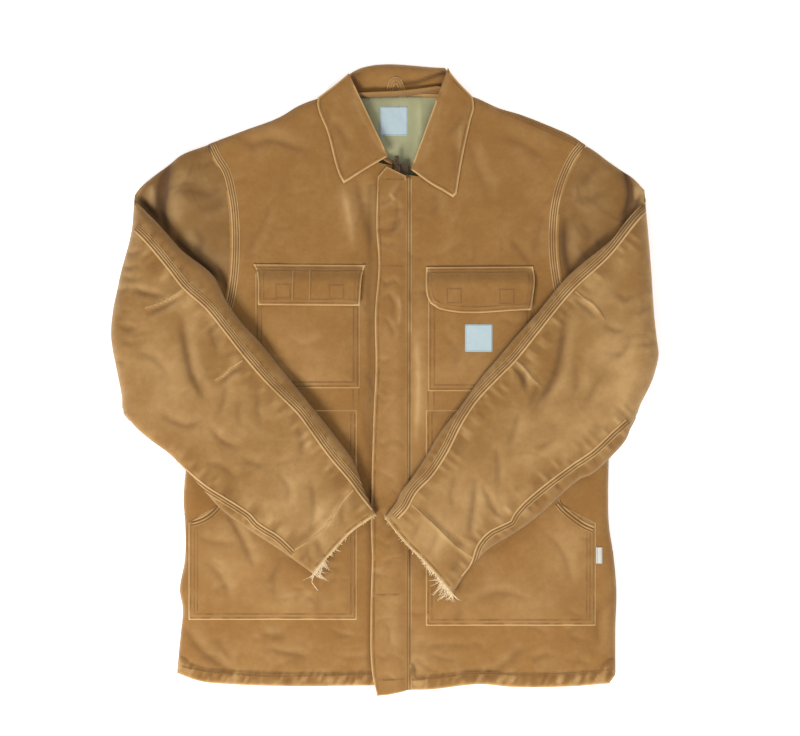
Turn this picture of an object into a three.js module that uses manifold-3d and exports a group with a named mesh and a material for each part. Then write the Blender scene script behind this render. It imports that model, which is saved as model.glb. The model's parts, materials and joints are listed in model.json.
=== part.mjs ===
// A lined canvas work coat, laid flat on its back with both sleeves folded across the front.
// Millimetres. +Z is up, +Y runs towards the collar, +X towards the wearer's left side.
// Plan points are given in the coat's drafting frame, whose X zero is near the front closing;
// every piece is then moved sideways by PLAN_SHIFT, so that X zero is the middle of the coat.

import * as THREE from 'three';
import * as BufferGeometryUtils from 'three/addons/utils/BufferGeometryUtils.js';
import Module from 'manifold-3d';

const wasm = await Module();
wasm.setup();

// ---------------------------------------------------------------- driving dimensions

const PLAN_SHIFT = 3.9;          // drafting frame to the middle of the coat
const GAP = 0.3;                 // clearance between neighbouring plies
const SEAM_GAP = 1.0;            // plan clearance along an armhole
const CANVAS = 2.4;              // a shell panel: two plies of duck canvas
const QUILT = 3.6;               // quilted lining
const TORSO_HOLLOW = 6;          // height of the space between back and front lining
const WALL = 3;                  // width of a folded pocket or sleeve edge
const SIDE_INSET = 4.5;          // lining kept inside the side seam
const POCKET_HOLLOW = 4.7;       // height of the space inside a patch pocket
const PATCH = 0.8;               // hook patch, loop patch and label thickness

const Z_BACK_LINING = CANVAS + GAP;
const Z_TORSO = Z_BACK_LINING + QUILT;
const Z_FRONT_LINING = Z_TORSO + TORSO_HOLLOW;
const Z_FRONT = Z_FRONT_LINING + QUILT + GAP;
const Z_FRONT_TOP = Z_FRONT + CANVAS;
const Z_POCKET = Z_FRONT_TOP + GAP;
const Z_POCKET_TOP = Z_POCKET + POCKET_HOLLOW + CANVAS;
const Z_FLAP = 28.6;             // underside of a chest pocket flap
const Z_LEAF = Z_POCKET;         // underside of a collar leaf
const LEAF_PLY = 2.4;            // each of the two plies of a collar leaf

const ZIP_X = 10;                // centre line of the zipper
const ZIP_TOP = 298;
const ZIP_BOTTOM = -402;
const TAPE_PLY = 0.9;            // zipper tape
const SLIDER_TOP = 297;          // front end of the slider with the coat closed
const SLIDER_LENGTH = 12;
const FLAP_HINGE_X = 23;         // line about which the storm flap opens
const FLAP_HELD = [-242, -118];  // between these the folded cuffs hold the storm flap down
const FLAP_EDGE = -24;           // the storm flap's free edge at the held stretch
const Z_STORM = 23.2;            // underside of the storm flap
const STORM_PATCH = 1.6;         // hook or loop strip under the storm flap

const Z_SLEEVE = 27;             // underside of a folded forearm
const SLEEVE_LOFT = 16;          // forearm underside to the underside of its top panel

// ---------------------------------------------------------------- plan outlines

const NECK_RIGHT = [[-17, 301], [-30, 314], [-46, 340], [-60, 369], [-66, 391]];
const NECK_LEFT = [[84, 391], [79, 371], [72, 344], [65, 319], [56, 300], [44, 286], [39, 281]];
const SHOULDER_RIGHT = [[-98, 388], [-125, 378], [-150, 363], [-200, 344], [-250, 325]];
const SHOULDER_LEFT = [[270, 324], [250, 337], [228, 347], [180, 366], [150, 375], [113, 391]];
const ARMHOLE_RIGHT = [
  [-250, 325], [-240, 305], [-228, 285], [-221, 258], [-217, 230], [-216, 170], [-219, 135],
  [-224, 108], [-233, 85], [-250, 65], [-284, 44],
];
const ARMHOLE_LEFT = [
  [270, 324], [255, 305], [243, 280], [235, 255], [230, 225], [229, 180], [232, 150],
  [238, 118], [248, 90], [264, 66], [300, 40],
];
const SIDE_RIGHT = [
  [-284, 44], [-281, -20], [-280, -118], [-283, -165], [-281, -190], [-281, -245], [-288, -288],
  [-284, -313], [-287, -350], [-292, -402],
];
const SIDE_LEFT = [
  [310, -405], [310, -340], [311.5, -290], [308, -245], [301, -195], [301, -100], [302, -30],
  [300, 40],
];
const HEM_RIGHT = [[-260, -413], [-220, -417], [-140, -420], [-24, -419]];
const HEM_LEFT = [
  [23, -425], [60, -424], [100, -419], [125, -417], [170, -421], [250, -420], [302, -416],
];

const FOLD_RIGHT = [
  [-349, 255], [-353, 210], [-356, 190], [-369, 150], [-374, 120], [-379, 100], [-382.6, 65],
  [-380, 50], [-375, 20], [-371.5, 0], [-367.5, -20], [-366, -40],
];
const FOLD_LEFT = [
  [338, -48], [345, -30], [352, -15], [361, 3], [366, 20], [369.6, 37], [366, 55], [363, 85],
  [361, 110], [359, 150], [354, 210], [351, 235], [350, 262],
];
const SLEEVE_HEAD_RIGHT = [[-288, 310], [-300, 300], [-340, 268]];
const SLEEVE_HEAD_LEFT = [[345, 270], [335, 279], [320, 289], [300, 303], [280, 318]];

// The line about which each sleeve is folded: its sideways place at two stations along Y. Upper
// sleeve and forearm both stay just inside it, so that the forearm can swing right over.
const FOLD_AXIS_RIGHT = [[-364, 240], [-378, -40]];
const FOLD_AXIS_LEFT = [[357, 250], [369, 0]];
const FOLD_ROOM = 0.6;

const FOREARM_RIGHT = {
  fold: [
    [-351, 240], [-357, 190], [-363, 140], [-368, 90], [-371, 30], [-370, 0], [-367, -25],
    [-365, -41],
  ],
  lower: [
    [-350, -60], [-327, -80], [-300, -100], [-260, -142], [-228, -177], [-200, -198], [-160, -224],
    [-120, -252], [-104, -264],
  ],
  cuff: [[-80, -236], [-50, -205], [-18, -183]],
  upper: [
    [-34, -150], [-50, -108], [-70, -80], [-92, -52], [-122, -15], [-152, 22], [-176, 52],
    [-202, 80], [-223, 110], [-240, 143], [-285, 180], [-300, 197], [-320, 219], [-348, 246],
  ],
};
const FOREARM_LEFT = {
  fold: [
    [350, 240], [354, 200], [358, 150], [360, 110], [363, 70], [365, 40], [364, 20], [360, 3],
    [352, -15], [338, -48],
  ],
  lower: [
    [331, -62], [323, -80], [303, -103], [275, -128], [262, -133], [230, -160], [205, -183],
    [175, -205], [135, -230], [108, -258], [86, -291],
  ],
  cuff: [[50, -250], [20, -220], [-7, -186]],
  upper: [
    [9, -165], [16, -150], [26, -138], [50, -102], [70, -68], [95, -37], [125, 5], [150, 34],
    [170, 58], [203, 95], [219, 115], [240, 140], [262, 160], [285, 178], [305, 195], [340, 228],
  ],
};

const CHEST_FLAP_RIGHT = [[-187, 160], [-183, 153], [-180, 104], [-41, 103], [-36, 152], [-33, 159]];
const CHEST_FLAP_LEFT = [[50, 156], [51, 118], [56, 106], [70, 98], [194, 97], [199, 140], [197, 157]];
const LEAF_RIGHT = [
  [-2, 308], [-56, 422], [-70, 410], [-90, 395], [-98, 389], [-99, 379], [-85, 340], [-70, 285],
  [-63, 271], [-30, 292],
];
const LEAF_LEFT = [
  [29, 290], [60, 268], [73, 261], [87, 252], [92, 257], [100, 305], [112, 360], [116, 375],
  [114, 390], [90, 415], [80, 428],
];

// ---------------------------------------------------------------- materials

function cloth(color, roughness = 0.95) {
  return new THREE.MeshStandardMaterial({ color, roughness, metalness: 0 });
}

const canvas = cloth(0x9d7341);
const sleeveCanvas = cloth(0xb28b5a);
const quilt = cloth(0x918c66);
const tape = cloth(0x4b3a26);
const hookAndLoop = cloth(0x5a4228);
const label = cloth(0xb5c7d1, 0.8);
const metal = new THREE.MeshStandardMaterial({ color: 0x3a3128, roughness: 0.45, metalness: 0.9 });

// ---------------------------------------------------------------- geometry helpers

const coat = new THREE.Group();

function add(name, geometry, material) {
  const mesh = new THREE.Mesh(geometry, material);
  mesh.name = name;
  mesh.position.x = PLAN_SHIFT;
  coat.add(mesh);
  return mesh;
}

// A closed slab: a plan outline between two heights.
function slab(outline, low, high) {
  const shape = new THREE.Shape(outline.map(([x, y]) => new THREE.Vector2(x, y)));
  const geometry = new THREE.ExtrudeGeometry(shape, { depth: high - low, bevelEnabled: false });
  return geometry.translate(0, 0, low);
}

function block(x0, x1, y0, y1, low, high) {
  return slab([[x0, y0], [x1, y0], [x1, y1], [x0, y1]], low, high);
}

function solid(geometry) {
  const bare = geometry.clone();
  bare.deleteAttribute('normal');
  bare.deleteAttribute('uv');
  const merged = BufferGeometryUtils.mergeVertices(bare, 1e-4);
  const mesh = new wasm.Mesh({
    numProp: 3,
    vertProperties: merged.attributes.position.array,
    triVerts: Uint32Array.from(merged.index.array),
  });
  return new wasm.Manifold(mesh);
}

function fromSolid(body) {
  const mesh = body.getMesh();
  const geometry = new THREE.BufferGeometry();
  geometry.setAttribute('position', new THREE.BufferAttribute(new Float32Array(mesh.vertProperties), 3));
  geometry.setIndex(new THREE.BufferAttribute(new Uint32Array(mesh.triVerts), 1));
  geometry.computeVertexNormals();
  return geometry;
}

function cut(geometry, ...tools) {
  return fromSolid(tools.reduce((body, tool) => body.subtract(solid(tool)), solid(geometry)));
}

function join(...geometries) {
  return fromSolid(geometries.map(solid).reduce((all, one) => all.add(one)));
}

// Moves every point of a line sideways in plan, perpendicular to the line. Positive is to the
// left of the direction of travel.
function offsetLine(points, distance) {
  return points.map(([x, y], i) => {
    const before = points[Math.max(i - 1, 0)];
    const after = points[Math.min(i + 1, points.length - 1)];
    const dx = after[0] - before[0];
    const dy = after[1] - before[1];
    const length = Math.hypot(dx, dy);
    return [x - (dy / length) * distance, y + (dx / length) * distance];
  });
}

const reversed = (points) => [...points].reverse();

// Brings the points of an outline that lie past a fold line back to just inside it.
function insideFold(points, [[x0, y0], [x1, y1]]) {
  return points.map(([x, y]) => {
    const line = x0 + ((x1 - x0) * (y - y0)) / (y1 - y0);
    const side = Math.sign(line);
    return [side * Math.min(side * x, side * line - FOLD_ROOM), y];
  });
}

// ---------------------------------------------------------------- torso

// The armhole of each side, without its lowest point: the side seam starts there.
function armholes(inset) {
  const room = inset ? SEAM_GAP : 0;
  return {
    right: offsetLine(ARMHOLE_RIGHT, room).slice(0, -1),
    left: reversed(offsetLine(ARMHOLE_LEFT, -room)).slice(1),
  };
}

function bodyOutline(inset) {
  const { right, left } = armholes(inset);
  return [
    [-66, 392], ...SHOULDER_RIGHT.slice(0, -1), ...right, ...offsetLine(SIDE_RIGHT, inset),
    ...HEM_RIGHT, ...HEM_LEFT, ...offsetLine(SIDE_LEFT, inset), ...left,
    ...SHOULDER_LEFT.slice(1), [84, 394],
  ];
}

function makeBack() {
  add('back_shell', slab(bodyOutline(0), 0, CANVAS), canvas);
  add('back_lining', slab(bodyOutline(SIDE_INSET), Z_BACK_LINING, Z_BACK_LINING + QUILT), quilt);
}

function frontRight(edge, inset) {
  return [
    [edge, 296], ...NECK_RIGHT, ...SHOULDER_RIGHT.slice(0, -1), ...armholes(inset).right,
    ...offsetLine(SIDE_RIGHT, inset), ...HEM_RIGHT, [edge, -419],
  ];
}

function frontLeft(edge, inset) {
  const hem = HEM_LEFT.filter(([x]) => x > edge);
  return [
    [edge, -425], ...hem, ...offsetLine(SIDE_LEFT, inset), ...armholes(inset).left,
    ...SHOULDER_LEFT.slice(1), ...NECK_LEFT, [edge, 284],
  ];
}

function makeFronts() {
  const shellEdge = 6;
  const liningEdge = 15.6;
  add('front_shell_right', slab(frontRight(ZIP_X - shellEdge, 0), Z_FRONT, Z_FRONT_TOP), canvas);
  add('front_shell_left', slab(frontLeft(ZIP_X + shellEdge, 0), Z_FRONT, Z_FRONT_TOP), canvas);
  const lining = [Z_FRONT_LINING, Z_FRONT_LINING + QUILT];
  add('front_lining_right', slab(frontRight(ZIP_X - liningEdge, SIDE_INSET), ...lining), quilt);
  add('front_lining_left', slab(frontLeft(ZIP_X + liningEdge, SIDE_INSET), ...lining), quilt);
}

// The felled side seams close the sides of the torso, from the armpit to the hem.
function makeSideSeams() {
  const heights = [Z_BACK_LINING, Z_FRONT - GAP];
  const right = [...offsetLine(SIDE_RIGHT, 0.6), ...reversed(offsetLine(SIDE_RIGHT, WALL + 0.6))];
  const left = [...offsetLine(SIDE_LEFT, 0.6), ...reversed(offsetLine(SIDE_LEFT, WALL + 0.6))];
  add('side_seam_right', slab(right, ...heights), canvas);
  add('side_seam_left', slab(left, ...heights), canvas);
}

// ---------------------------------------------------------------- upper sleeves

// The under side and both long edges are one folded panel, with the top panel and a quilted tube
// inside. lower and head are the long edges, run past the armhole and past the fold, so that
// both ends are open.
function makeUpperSleeve(side, outline, lower, head) {
  const band = (inset) => [...offsetLine(lower, inset), ...offsetLine(head, inset)];
  const top = Z_FRONT - GAP;
  const hollow = slab(band(WALL), CANVAS, top + 1);
  add(`upper_sleeve_back_${side}`, cut(slab(outline, 0, top), hollow), canvas);
  add(`upper_sleeve_front_${side}`, slab(outline, Z_FRONT, Z_FRONT_TOP), canvas);
  const low = CANVAS + GAP;
  const high = top - GAP;
  const tube = solid(slab(band(WALL + GAP), low, high)).intersect(solid(slab(outline, low, high)));
  const inside = solid(slab(band(2 * WALL), low + WALL, high - WALL));
  add(`upper_sleeve_lining_${side}`, fromSolid(tube.subtract(inside)), quilt);
}

function makeUpperSleeves() {
  const outlineRight = [
    ...reversed(offsetLine(ARMHOLE_RIGHT, -SEAM_GAP)), ...SLEEVE_HEAD_RIGHT, ...FOLD_RIGHT,
  ];
  const lowerRight = [[-395, -69], [-366, -40], [-284, 44], [-200, 100]];
  const headRight = [[-200, 345], [-249, 325], ...SLEEVE_HEAD_RIGHT, [-349, 255], [-395, 236]];
  makeUpperSleeve('right', insideFold(outlineRight, FOLD_AXIS_RIGHT), lowerRight, headRight);
  const outlineLeft = [
    ...offsetLine(ARMHOLE_LEFT, SEAM_GAP), ...FOLD_LEFT, ...SLEEVE_HEAD_LEFT,
  ];
  const lowerLeft = [[210, 90], [302, 40], [338, -48], [352, -96]];
  const headLeft = [[395, 249], [350, 262], ...SLEEVE_HEAD_LEFT, [270, 325], [220, 356]];
  makeUpperSleeve('left', insideFold(outlineLeft, FOLD_AXIS_LEFT), lowerLeft, headLeft);
}

// ---------------------------------------------------------------- folded forearms

function extend(points, distance) {
  const [a, b] = [points.at(-2), points.at(-1)];
  const length = Math.hypot(b[0] - a[0], b[1] - a[1]);
  const end = [b[0] + ((b[0] - a[0]) / length) * distance, b[1] + ((b[1] - a[1]) / length) * distance];
  return [...points, end];
}

function extendBoth(points, distance) {
  return reversed(extend(reversed(extend(points, distance)), distance));
}

// Under panel with both long edges, top panel, and a quilted tube inside. All are open at the
// cuff and at the fold. sign is +1 where the lower edge runs anticlockwise round the outline.
function makeForearm(side, plan, sign, foldAxis) {
  const whole = [...plan.fold, ...plan.lower, ...plan.cuff, ...plan.upper];
  const outline = insideFold(whole, foldAxis);
  const trayTop = Z_SLEEVE + SLEEVE_LOFT - GAP;
  const reach = 60;
  const lower = extendBoth([plan.fold.at(-1), ...plan.lower], reach);
  const upper = extendBoth([plan.cuff.at(-1), ...plan.upper], reach);
  const band = (inset) => [...offsetLine(lower, sign * inset), ...offsetLine(upper, sign * inset)];
  const hollow = slab(band(WALL), Z_SLEEVE + CANVAS, trayTop + 1);
  add(`forearm_under_${side}`, cut(slab(outline, Z_SLEEVE, trayTop), hollow), sleeveCanvas);
  const topLow = Z_SLEEVE + SLEEVE_LOFT;
  add(`forearm_top_${side}`, slab(outline, topLow, topLow + CANVAS), sleeveCanvas);
  const low = Z_SLEEVE + CANVAS + GAP;
  const high = trayTop - GAP;
  const tube = solid(slab(band(WALL + GAP), low, high)).intersect(solid(slab(outline, low, high)));
  const inside = solid(slab(band(2 * WALL), low + WALL, high - WALL));
  add(`forearm_lining_${side}`, fromSolid(tube.subtract(inside)), quilt);
}

// ---------------------------------------------------------------- collar and neck

const STAND_INNER = [[-3, 308], [-15, 321], [-30, 346], [-45, 373], [-47, 389]];
const STAND_INNER_LEFT = [
  [70, 399], [67, 380], [62, 360], [55, 338], [50, 318], [42, 305], [33, 296], [28, 290],
];
const STAND_OUTER_LEFT = [
  [38, 284], [42, 287], [54, 301], [63, 320], [70, 345], [77, 372], [82, 391], [80, 429],
];
const STAND_OUTER = [
  [-40, 429], [-62, 415], [-64, 391], [-58, 368], [-44, 339], [-28, 312.5], [-15.5, 302],
];

function makeCollar() {
  const stand = [...STAND_INNER, ...STAND_INNER_LEFT, ...STAND_OUTER_LEFT, ...STAND_OUTER];
  add('collar_stand', slab(stand, Z_FRONT_LINING + GAP, Z_FRONT_TOP), canvas);
  const fall = [
    [-88, 397], [-60, 396], [75, 399], [104, 399.5], [90, 415], [76, 432], [-38, 432], [-70, 411],
  ];
  add('collar_fall', slab(fall, 0, Z_FRONT_LINING), canvas);
  const sides = [['right', LEAF_RIGHT], ['left', LEAF_LEFT]];
  for (const [side, outline] of sides) {
    const low = Z_LEAF + GAP;
    add(`under_collar_${side}`, slab(outline, low, low + LEAF_PLY), canvas);
    const top = low + LEAF_PLY + GAP;
    add(`top_collar_${side}`, slab(outline, top, top + LEAF_PLY), canvas);
  }
}

// A folded strip with both ends sewn below the stand; a hook goes between its two legs.
function makeNeckPieces() {
  const low = Z_FRONT_TOP + GAP;
  const strip = block(-5, 22, 391, 418, low, low + 2.6);
  const gapBetweenLegs = block(6, 11.4, 385, 409.5, low - 1, low + 4);
  add('hanger_loop', cut(strip, gapBetweenLegs), canvas);
  const onLining = Z_TORSO + GAP;
  add('neck_label', block(-13, 25, 338, 378, onLining, onLining + PATCH), label);
}

// ---------------------------------------------------------------- zipper

function makeZipper() {
  const rowLow = Z_FRONT;
  const rowHigh = Z_FRONT_TOP + 0.4;
  const tapeHigh = Z_FRONT - GAP;
  const inner = 0.8;
  const rowWidth = 2.6;
  const tapeWidth = 14.2;
  for (const [side, sign] of [['left', 1], ['right', -1]]) {
    const strip = (width, bottom, low, high) => {
      const x = [ZIP_X + sign * inner, ZIP_X + sign * (inner + width)].sort((a, b) => a - b);
      return block(...x, bottom, ZIP_TOP, low, high);
    };
    add(`zipper_tape_${side}`, strip(tapeWidth, ZIP_BOTTOM, tapeHigh - TAPE_PLY, tapeHigh), tape);
    add(`zipper_teeth_${side}`, strip(rowWidth, ZIP_BOTTOM + 10, rowLow, rowHigh), metal);
  }
  const retainer = [ZIP_X - 4, ZIP_X + 4, ZIP_BOTTOM + 1, ZIP_BOTTOM + 9.5];
  add('zipper_retainer', block(...retainer, rowLow, rowHigh), metal);
  makeSlider(rowHigh);
}

// The slider is two plates joined by a thin web between the rows, with two lugs for the pull.
function makeSlider(rowHigh) {
  const half = 4.4;
  const webHalf = 0.5;
  const plate = 1.4;
  const lugHeight = 2.1;
  const sunk = 0.2;                // how far the web and lugs run into the plates
  const rear = SLIDER_TOP - SLIDER_LENGTH;
  const topLow = rowHigh + GAP;
  const topHigh = topLow + plate;
  const bottomHigh = Z_FRONT - GAP - TAPE_PLY - GAP;
  const across = [ZIP_X - half, ZIP_X + half, rear, SLIDER_TOP];
  const topPlate = block(...across, topLow, topHigh);
  const bottomPlate = block(...across, bottomHigh - plate, bottomHigh);
  const webPlan = [ZIP_X - webHalf, ZIP_X + webHalf, rear + 3, SLIDER_TOP];
  const web = block(...webPlan, bottomHigh - sunk, topLow + sunk);
  const lugs = [-3.3, 2.3].map((x) => {
    const plan = [ZIP_X + x, ZIP_X + x + 1, SLIDER_TOP - 4.5, SLIDER_TOP];
    return block(...plan, topHigh - sunk, topHigh + lugHeight);
  });
  add('zipper_slider', join(topPlate, bottomPlate, web, ...lugs), metal);
  const pullLow = topHigh + 0.5;
  const pullPly = 1.2;
  const halfPull = [[1.9, -2.1], [1.9, 1], [3.2, 2.5], [2.6, 12]];
  const pull = [
    ...halfPull.map(([x, y]) => [ZIP_X + x, SLIDER_TOP + y]),
    ...reversed(halfPull).map(([x, y]) => [ZIP_X - x, SLIDER_TOP + y]),
  ];
  add('zipper_pull', slab(pull, pullLow, pullLow + pullPly), metal);
}

// ---------------------------------------------------------------- storm flap

// The flap is sewn down along its base. Above and below the held stretch it can be lifted.
function makeStormFlap() {
  const seam = FLAP_HINGE_X + 2;
  const base = [ZIP_X + 5.3, seam, -424, 280];
  add('storm_flap_base', block(...base, Z_POCKET, Z_STORM - GAP), canvas);
  const edge = FLAP_HINGE_X - GAP;
  const [heldLow, heldHigh] = FLAP_HELD;
  const cutGap = 1;
  const upper = [
    [edge, heldHigh], [edge, 281], [-4, 294], [-16, 280], [-18, 210], [-15, 160], [-20, 90],
    [-19, 20], [-22, -50], [FLAP_EDGE, heldHigh],
  ];
  const middle = [
    [seam, heldHigh - cutGap], [FLAP_EDGE, heldHigh - cutGap], [-25.5, -200],
    [FLAP_EDGE, heldLow + cutGap], [seam, heldLow + cutGap],
  ];
  const lower = [
    [edge, heldLow], [FLAP_EDGE, heldLow], [-26, -320], [-24, -400], [-17, -432], [0, -430],
    [edge, -425.5],
  ];
  for (const [which, outline] of Object.entries({ upper, middle, lower })) {
    add(`storm_flap_${which}`, slab(outline, Z_STORM, Z_STORM + CANVAS), canvas);
  }
  const loopHigh = Z_POCKET + STORM_PATCH;
  const hookHigh = Z_STORM - GAP;
  for (const [which, y0, y1] of [['upper', 40, 140], ['lower', -380, -280]]) {
    const plan = [-14, 1, y0, y1];
    add(`storm_flap_loop_${which}`, block(...plan, Z_POCKET, loopHigh), hookAndLoop);
    add(`storm_flap_hook_${which}`, block(...plan, hookHigh - STORM_PATCH, hookHigh), hookAndLoop);
  }
}

// ---------------------------------------------------------------- pockets

function pocket(name, outline, hollow) {
  const patch = slab(outline, Z_POCKET, Z_POCKET_TOP);
  const inside = slab(hollow, Z_POCKET - 1, Z_POCKET + POCKET_HOLLOW);
  add(name, cut(patch, inside), canvas);
}

function rectangle(x0, x1, y0, y1) {
  return [[x0, y0], [x1, y0], [x1, y1], [x0, y1]];
}

// One chest pocket: a patch open at the top, with a flap that two hook and loop pairs hold down.
function makeChestPocket(side, x0, x1, y0, y1, flapOutline, squares, squareY) {
  const openPast = 20;
  const hollow = rectangle(x0 + WALL, x1 - WALL, y0 + WALL, y1 + openPast);
  pocket(`chest_pocket_${side}`, rectangle(x0, x1, y0, y1), hollow);
  add(`pocket_flap_${side}`, slab(flapOutline, Z_FLAP, Z_FLAP + CANVAS), canvas);
  const half = 8;
  squares.forEach((x, i) => {
    const place = [x - half, x + half, squareY - half, squareY + half];
    const which = i === 0 ? 'a' : 'b';
    const loopLow = Z_POCKET_TOP + GAP;
    add(`pocket_loop_${side}_${which}`, block(...place, loopLow, loopLow + PATCH), hookAndLoop);
    const hookHigh = Z_FLAP - GAP;
    add(`pocket_hook_${side}_${which}`, block(...place, hookHigh - PATCH, hookHigh), hookAndLoop);
  });
}

// One lower patch pocket. s is +1 on the wearer's left. Its slanted outer corner is the mouth.
function makeLowerPocket(side, s, inner, outer, bottom) {
  const top = -40;
  const mouth = [[s * outer, -195], [s * 236, -170], [s * 205, -95], [s * 180, top]];
  const outline = [[s * inner, bottom], [s * outer, bottom], ...mouth, [s * inner, top]];
  const hollow = [
    [s * (inner + WALL), bottom + WALL], [s * (outer - WALL), bottom + WALL],
    [s * (outer - WALL), -180], [s * 262, -172], [s * 245, -160], [s * 195, top - WALL],
    [s * (inner + WALL), top - WALL],
  ];
  pocket(`lower_pocket_${side}`, outline, hollow);
}

function makePockets() {
  makeChestPocket('right', -184, -41, -10, 148, CHEST_FLAP_RIGHT, [-145.5, -73], 122);
  makeChestPocket('left', 53, 197, -14, 146, CHEST_FLAP_LEFT, [88.5, 161], 116);
  makeLowerPocket('right', -1, 45, 276, -328);
  makeLowerPocket('left', 1, 50, 283, -336);
  const onPocket = Z_POCKET_TOP + GAP;
  add('chest_label', block(103.5, 141, 40, 77.5, onPocket, onPocket + 0.7), label);
  add('side_label', block(283.6, 292, -251, -228, Z_POCKET, Z_POCKET + PATCH), label);
}

// ---------------------------------------------------------------- the coat

makeBack();
makeFronts();
makeSideSeams();
makeUpperSleeves();
makeForearm('right', FOREARM_RIGHT, 1, FOLD_AXIS_RIGHT);
makeForearm('left', FOREARM_LEFT, -1, FOLD_AXIS_LEFT);
makeCollar();
makeNeckPieces();
makeZipper();
makeStormFlap();
makePockets();

export default coat;
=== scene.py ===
import json
import math

import bmesh
import bpy
import numpy as np
from bpy.props import FloatProperty, FloatVectorProperty, PointerProperty
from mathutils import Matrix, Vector
from mathutils.bvhtree import BVHTree

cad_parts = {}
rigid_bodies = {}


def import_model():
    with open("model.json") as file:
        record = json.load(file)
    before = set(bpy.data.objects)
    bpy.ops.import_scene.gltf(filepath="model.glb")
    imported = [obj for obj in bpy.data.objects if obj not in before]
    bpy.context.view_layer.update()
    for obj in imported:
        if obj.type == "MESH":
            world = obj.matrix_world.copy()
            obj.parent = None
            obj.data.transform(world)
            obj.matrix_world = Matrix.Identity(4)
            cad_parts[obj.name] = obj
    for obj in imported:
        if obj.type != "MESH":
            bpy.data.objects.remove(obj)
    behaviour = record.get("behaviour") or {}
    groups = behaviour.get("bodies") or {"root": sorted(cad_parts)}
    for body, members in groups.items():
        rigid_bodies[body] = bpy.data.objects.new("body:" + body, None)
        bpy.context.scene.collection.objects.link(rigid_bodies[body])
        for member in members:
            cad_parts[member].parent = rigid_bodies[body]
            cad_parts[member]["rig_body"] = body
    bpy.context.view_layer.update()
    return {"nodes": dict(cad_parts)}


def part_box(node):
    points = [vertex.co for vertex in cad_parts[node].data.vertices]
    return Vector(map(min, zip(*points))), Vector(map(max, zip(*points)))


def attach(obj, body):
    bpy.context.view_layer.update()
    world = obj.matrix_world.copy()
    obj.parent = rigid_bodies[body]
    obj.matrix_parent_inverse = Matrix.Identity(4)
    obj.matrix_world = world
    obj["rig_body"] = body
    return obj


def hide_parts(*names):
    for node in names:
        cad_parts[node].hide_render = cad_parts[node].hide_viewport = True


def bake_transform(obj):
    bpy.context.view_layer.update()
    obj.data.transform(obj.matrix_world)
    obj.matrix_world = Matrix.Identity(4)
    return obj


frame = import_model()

bl_info = {
    "name": "Canvas Work Coat",
    "version": (1, 0, 0),
    "blender": (4, 5, 0),
    "location": "3D View > Sidebar > Coat",
    "description": "Sews a lined canvas work coat, laid flat with its sleeves folded, round its CAD frame",
    "category": "Add Mesh",
}

MM = 0.001
ZIPPER_X = 10.0  # the zipper's centre line in the drafting frame, mm
SHIFT = sum(c.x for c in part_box("zipper_retainer")) / 2 / MM - ZIPPER_X  # from the drafting frame to the coat's
GRID = 2.7  # cloth mesh spacing, mm
RINGS = (0.7, 1.1, 1.6)  # edge loops round a panel, mm, each inside the last

# ------------------------------------------------------------------ plan lines, in the drafting frame, mm

FOLD = {
    "right": [(-350, 247), (-353, 210), (-357, 190), (-368, 150), (-374, 122), (-379, 98),
              (-382, 65), (-380, 45), (-375, 20), (-371, 0), (-367, -22), (-365.5, -40)],
    "left": [(338, -48), (345, -30), (353, -15), (361, 3), (366, 20), (369, 37), (366.5, 58),
             (363.5, 85), (361.5, 110), (359, 150), (354.5, 205), (351, 243)],
}
HEAD_CORNER = {"right": (-349, 255), "left": (350, 262)}
ARMHOLE = {
    "right": [(-250, 325), (-240, 305), (-228, 285), (-221, 258), (-217, 230), (-216, 170), (-219, 135),
              (-224, 108), (-233, 85)],
    "left": [(270, 324), (255, 305), (243, 280), (235, 255), (230, 225), (229, 180), (232, 150),
             (238, 118), (248, 90)],
}
UPPER_SEAM = {
    "right": [(-349, 205), (-338, 195), (-300, 150), (-282, 127), (-250, 98), (-225, 67), (-200, 35),
              (-170, 0), (-150, -20), (-125, -45), (-110, -65), (-85, -100), (-50, -142), (-43, -152),
              (-24, -176)],
    "left": [(353, 232), (345, 225), (300, 170), (250, 123), (200, 62), (170, 25), (150, 5), (120, -27),
             (100, -57), (78, -100), (58, -130), (37, -152), (24, -175), (12, -188)],
}
LOWER_SEAM = {
    "right": [(-291, -107), (-279, -118), (-250, -142), (-229, -155), (-200, -173),
              (-190, -180), (-178, -193), (-150, -211), (-129, -231)],
    "left": [(322, -52), (305, -67), (275, -95), (250, -112), (200, -150), (180, -168), (170, -180),
             (165, -190), (150, -197), (135, -205), (120, -222), (110, -250), (98, -266)],
}

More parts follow.
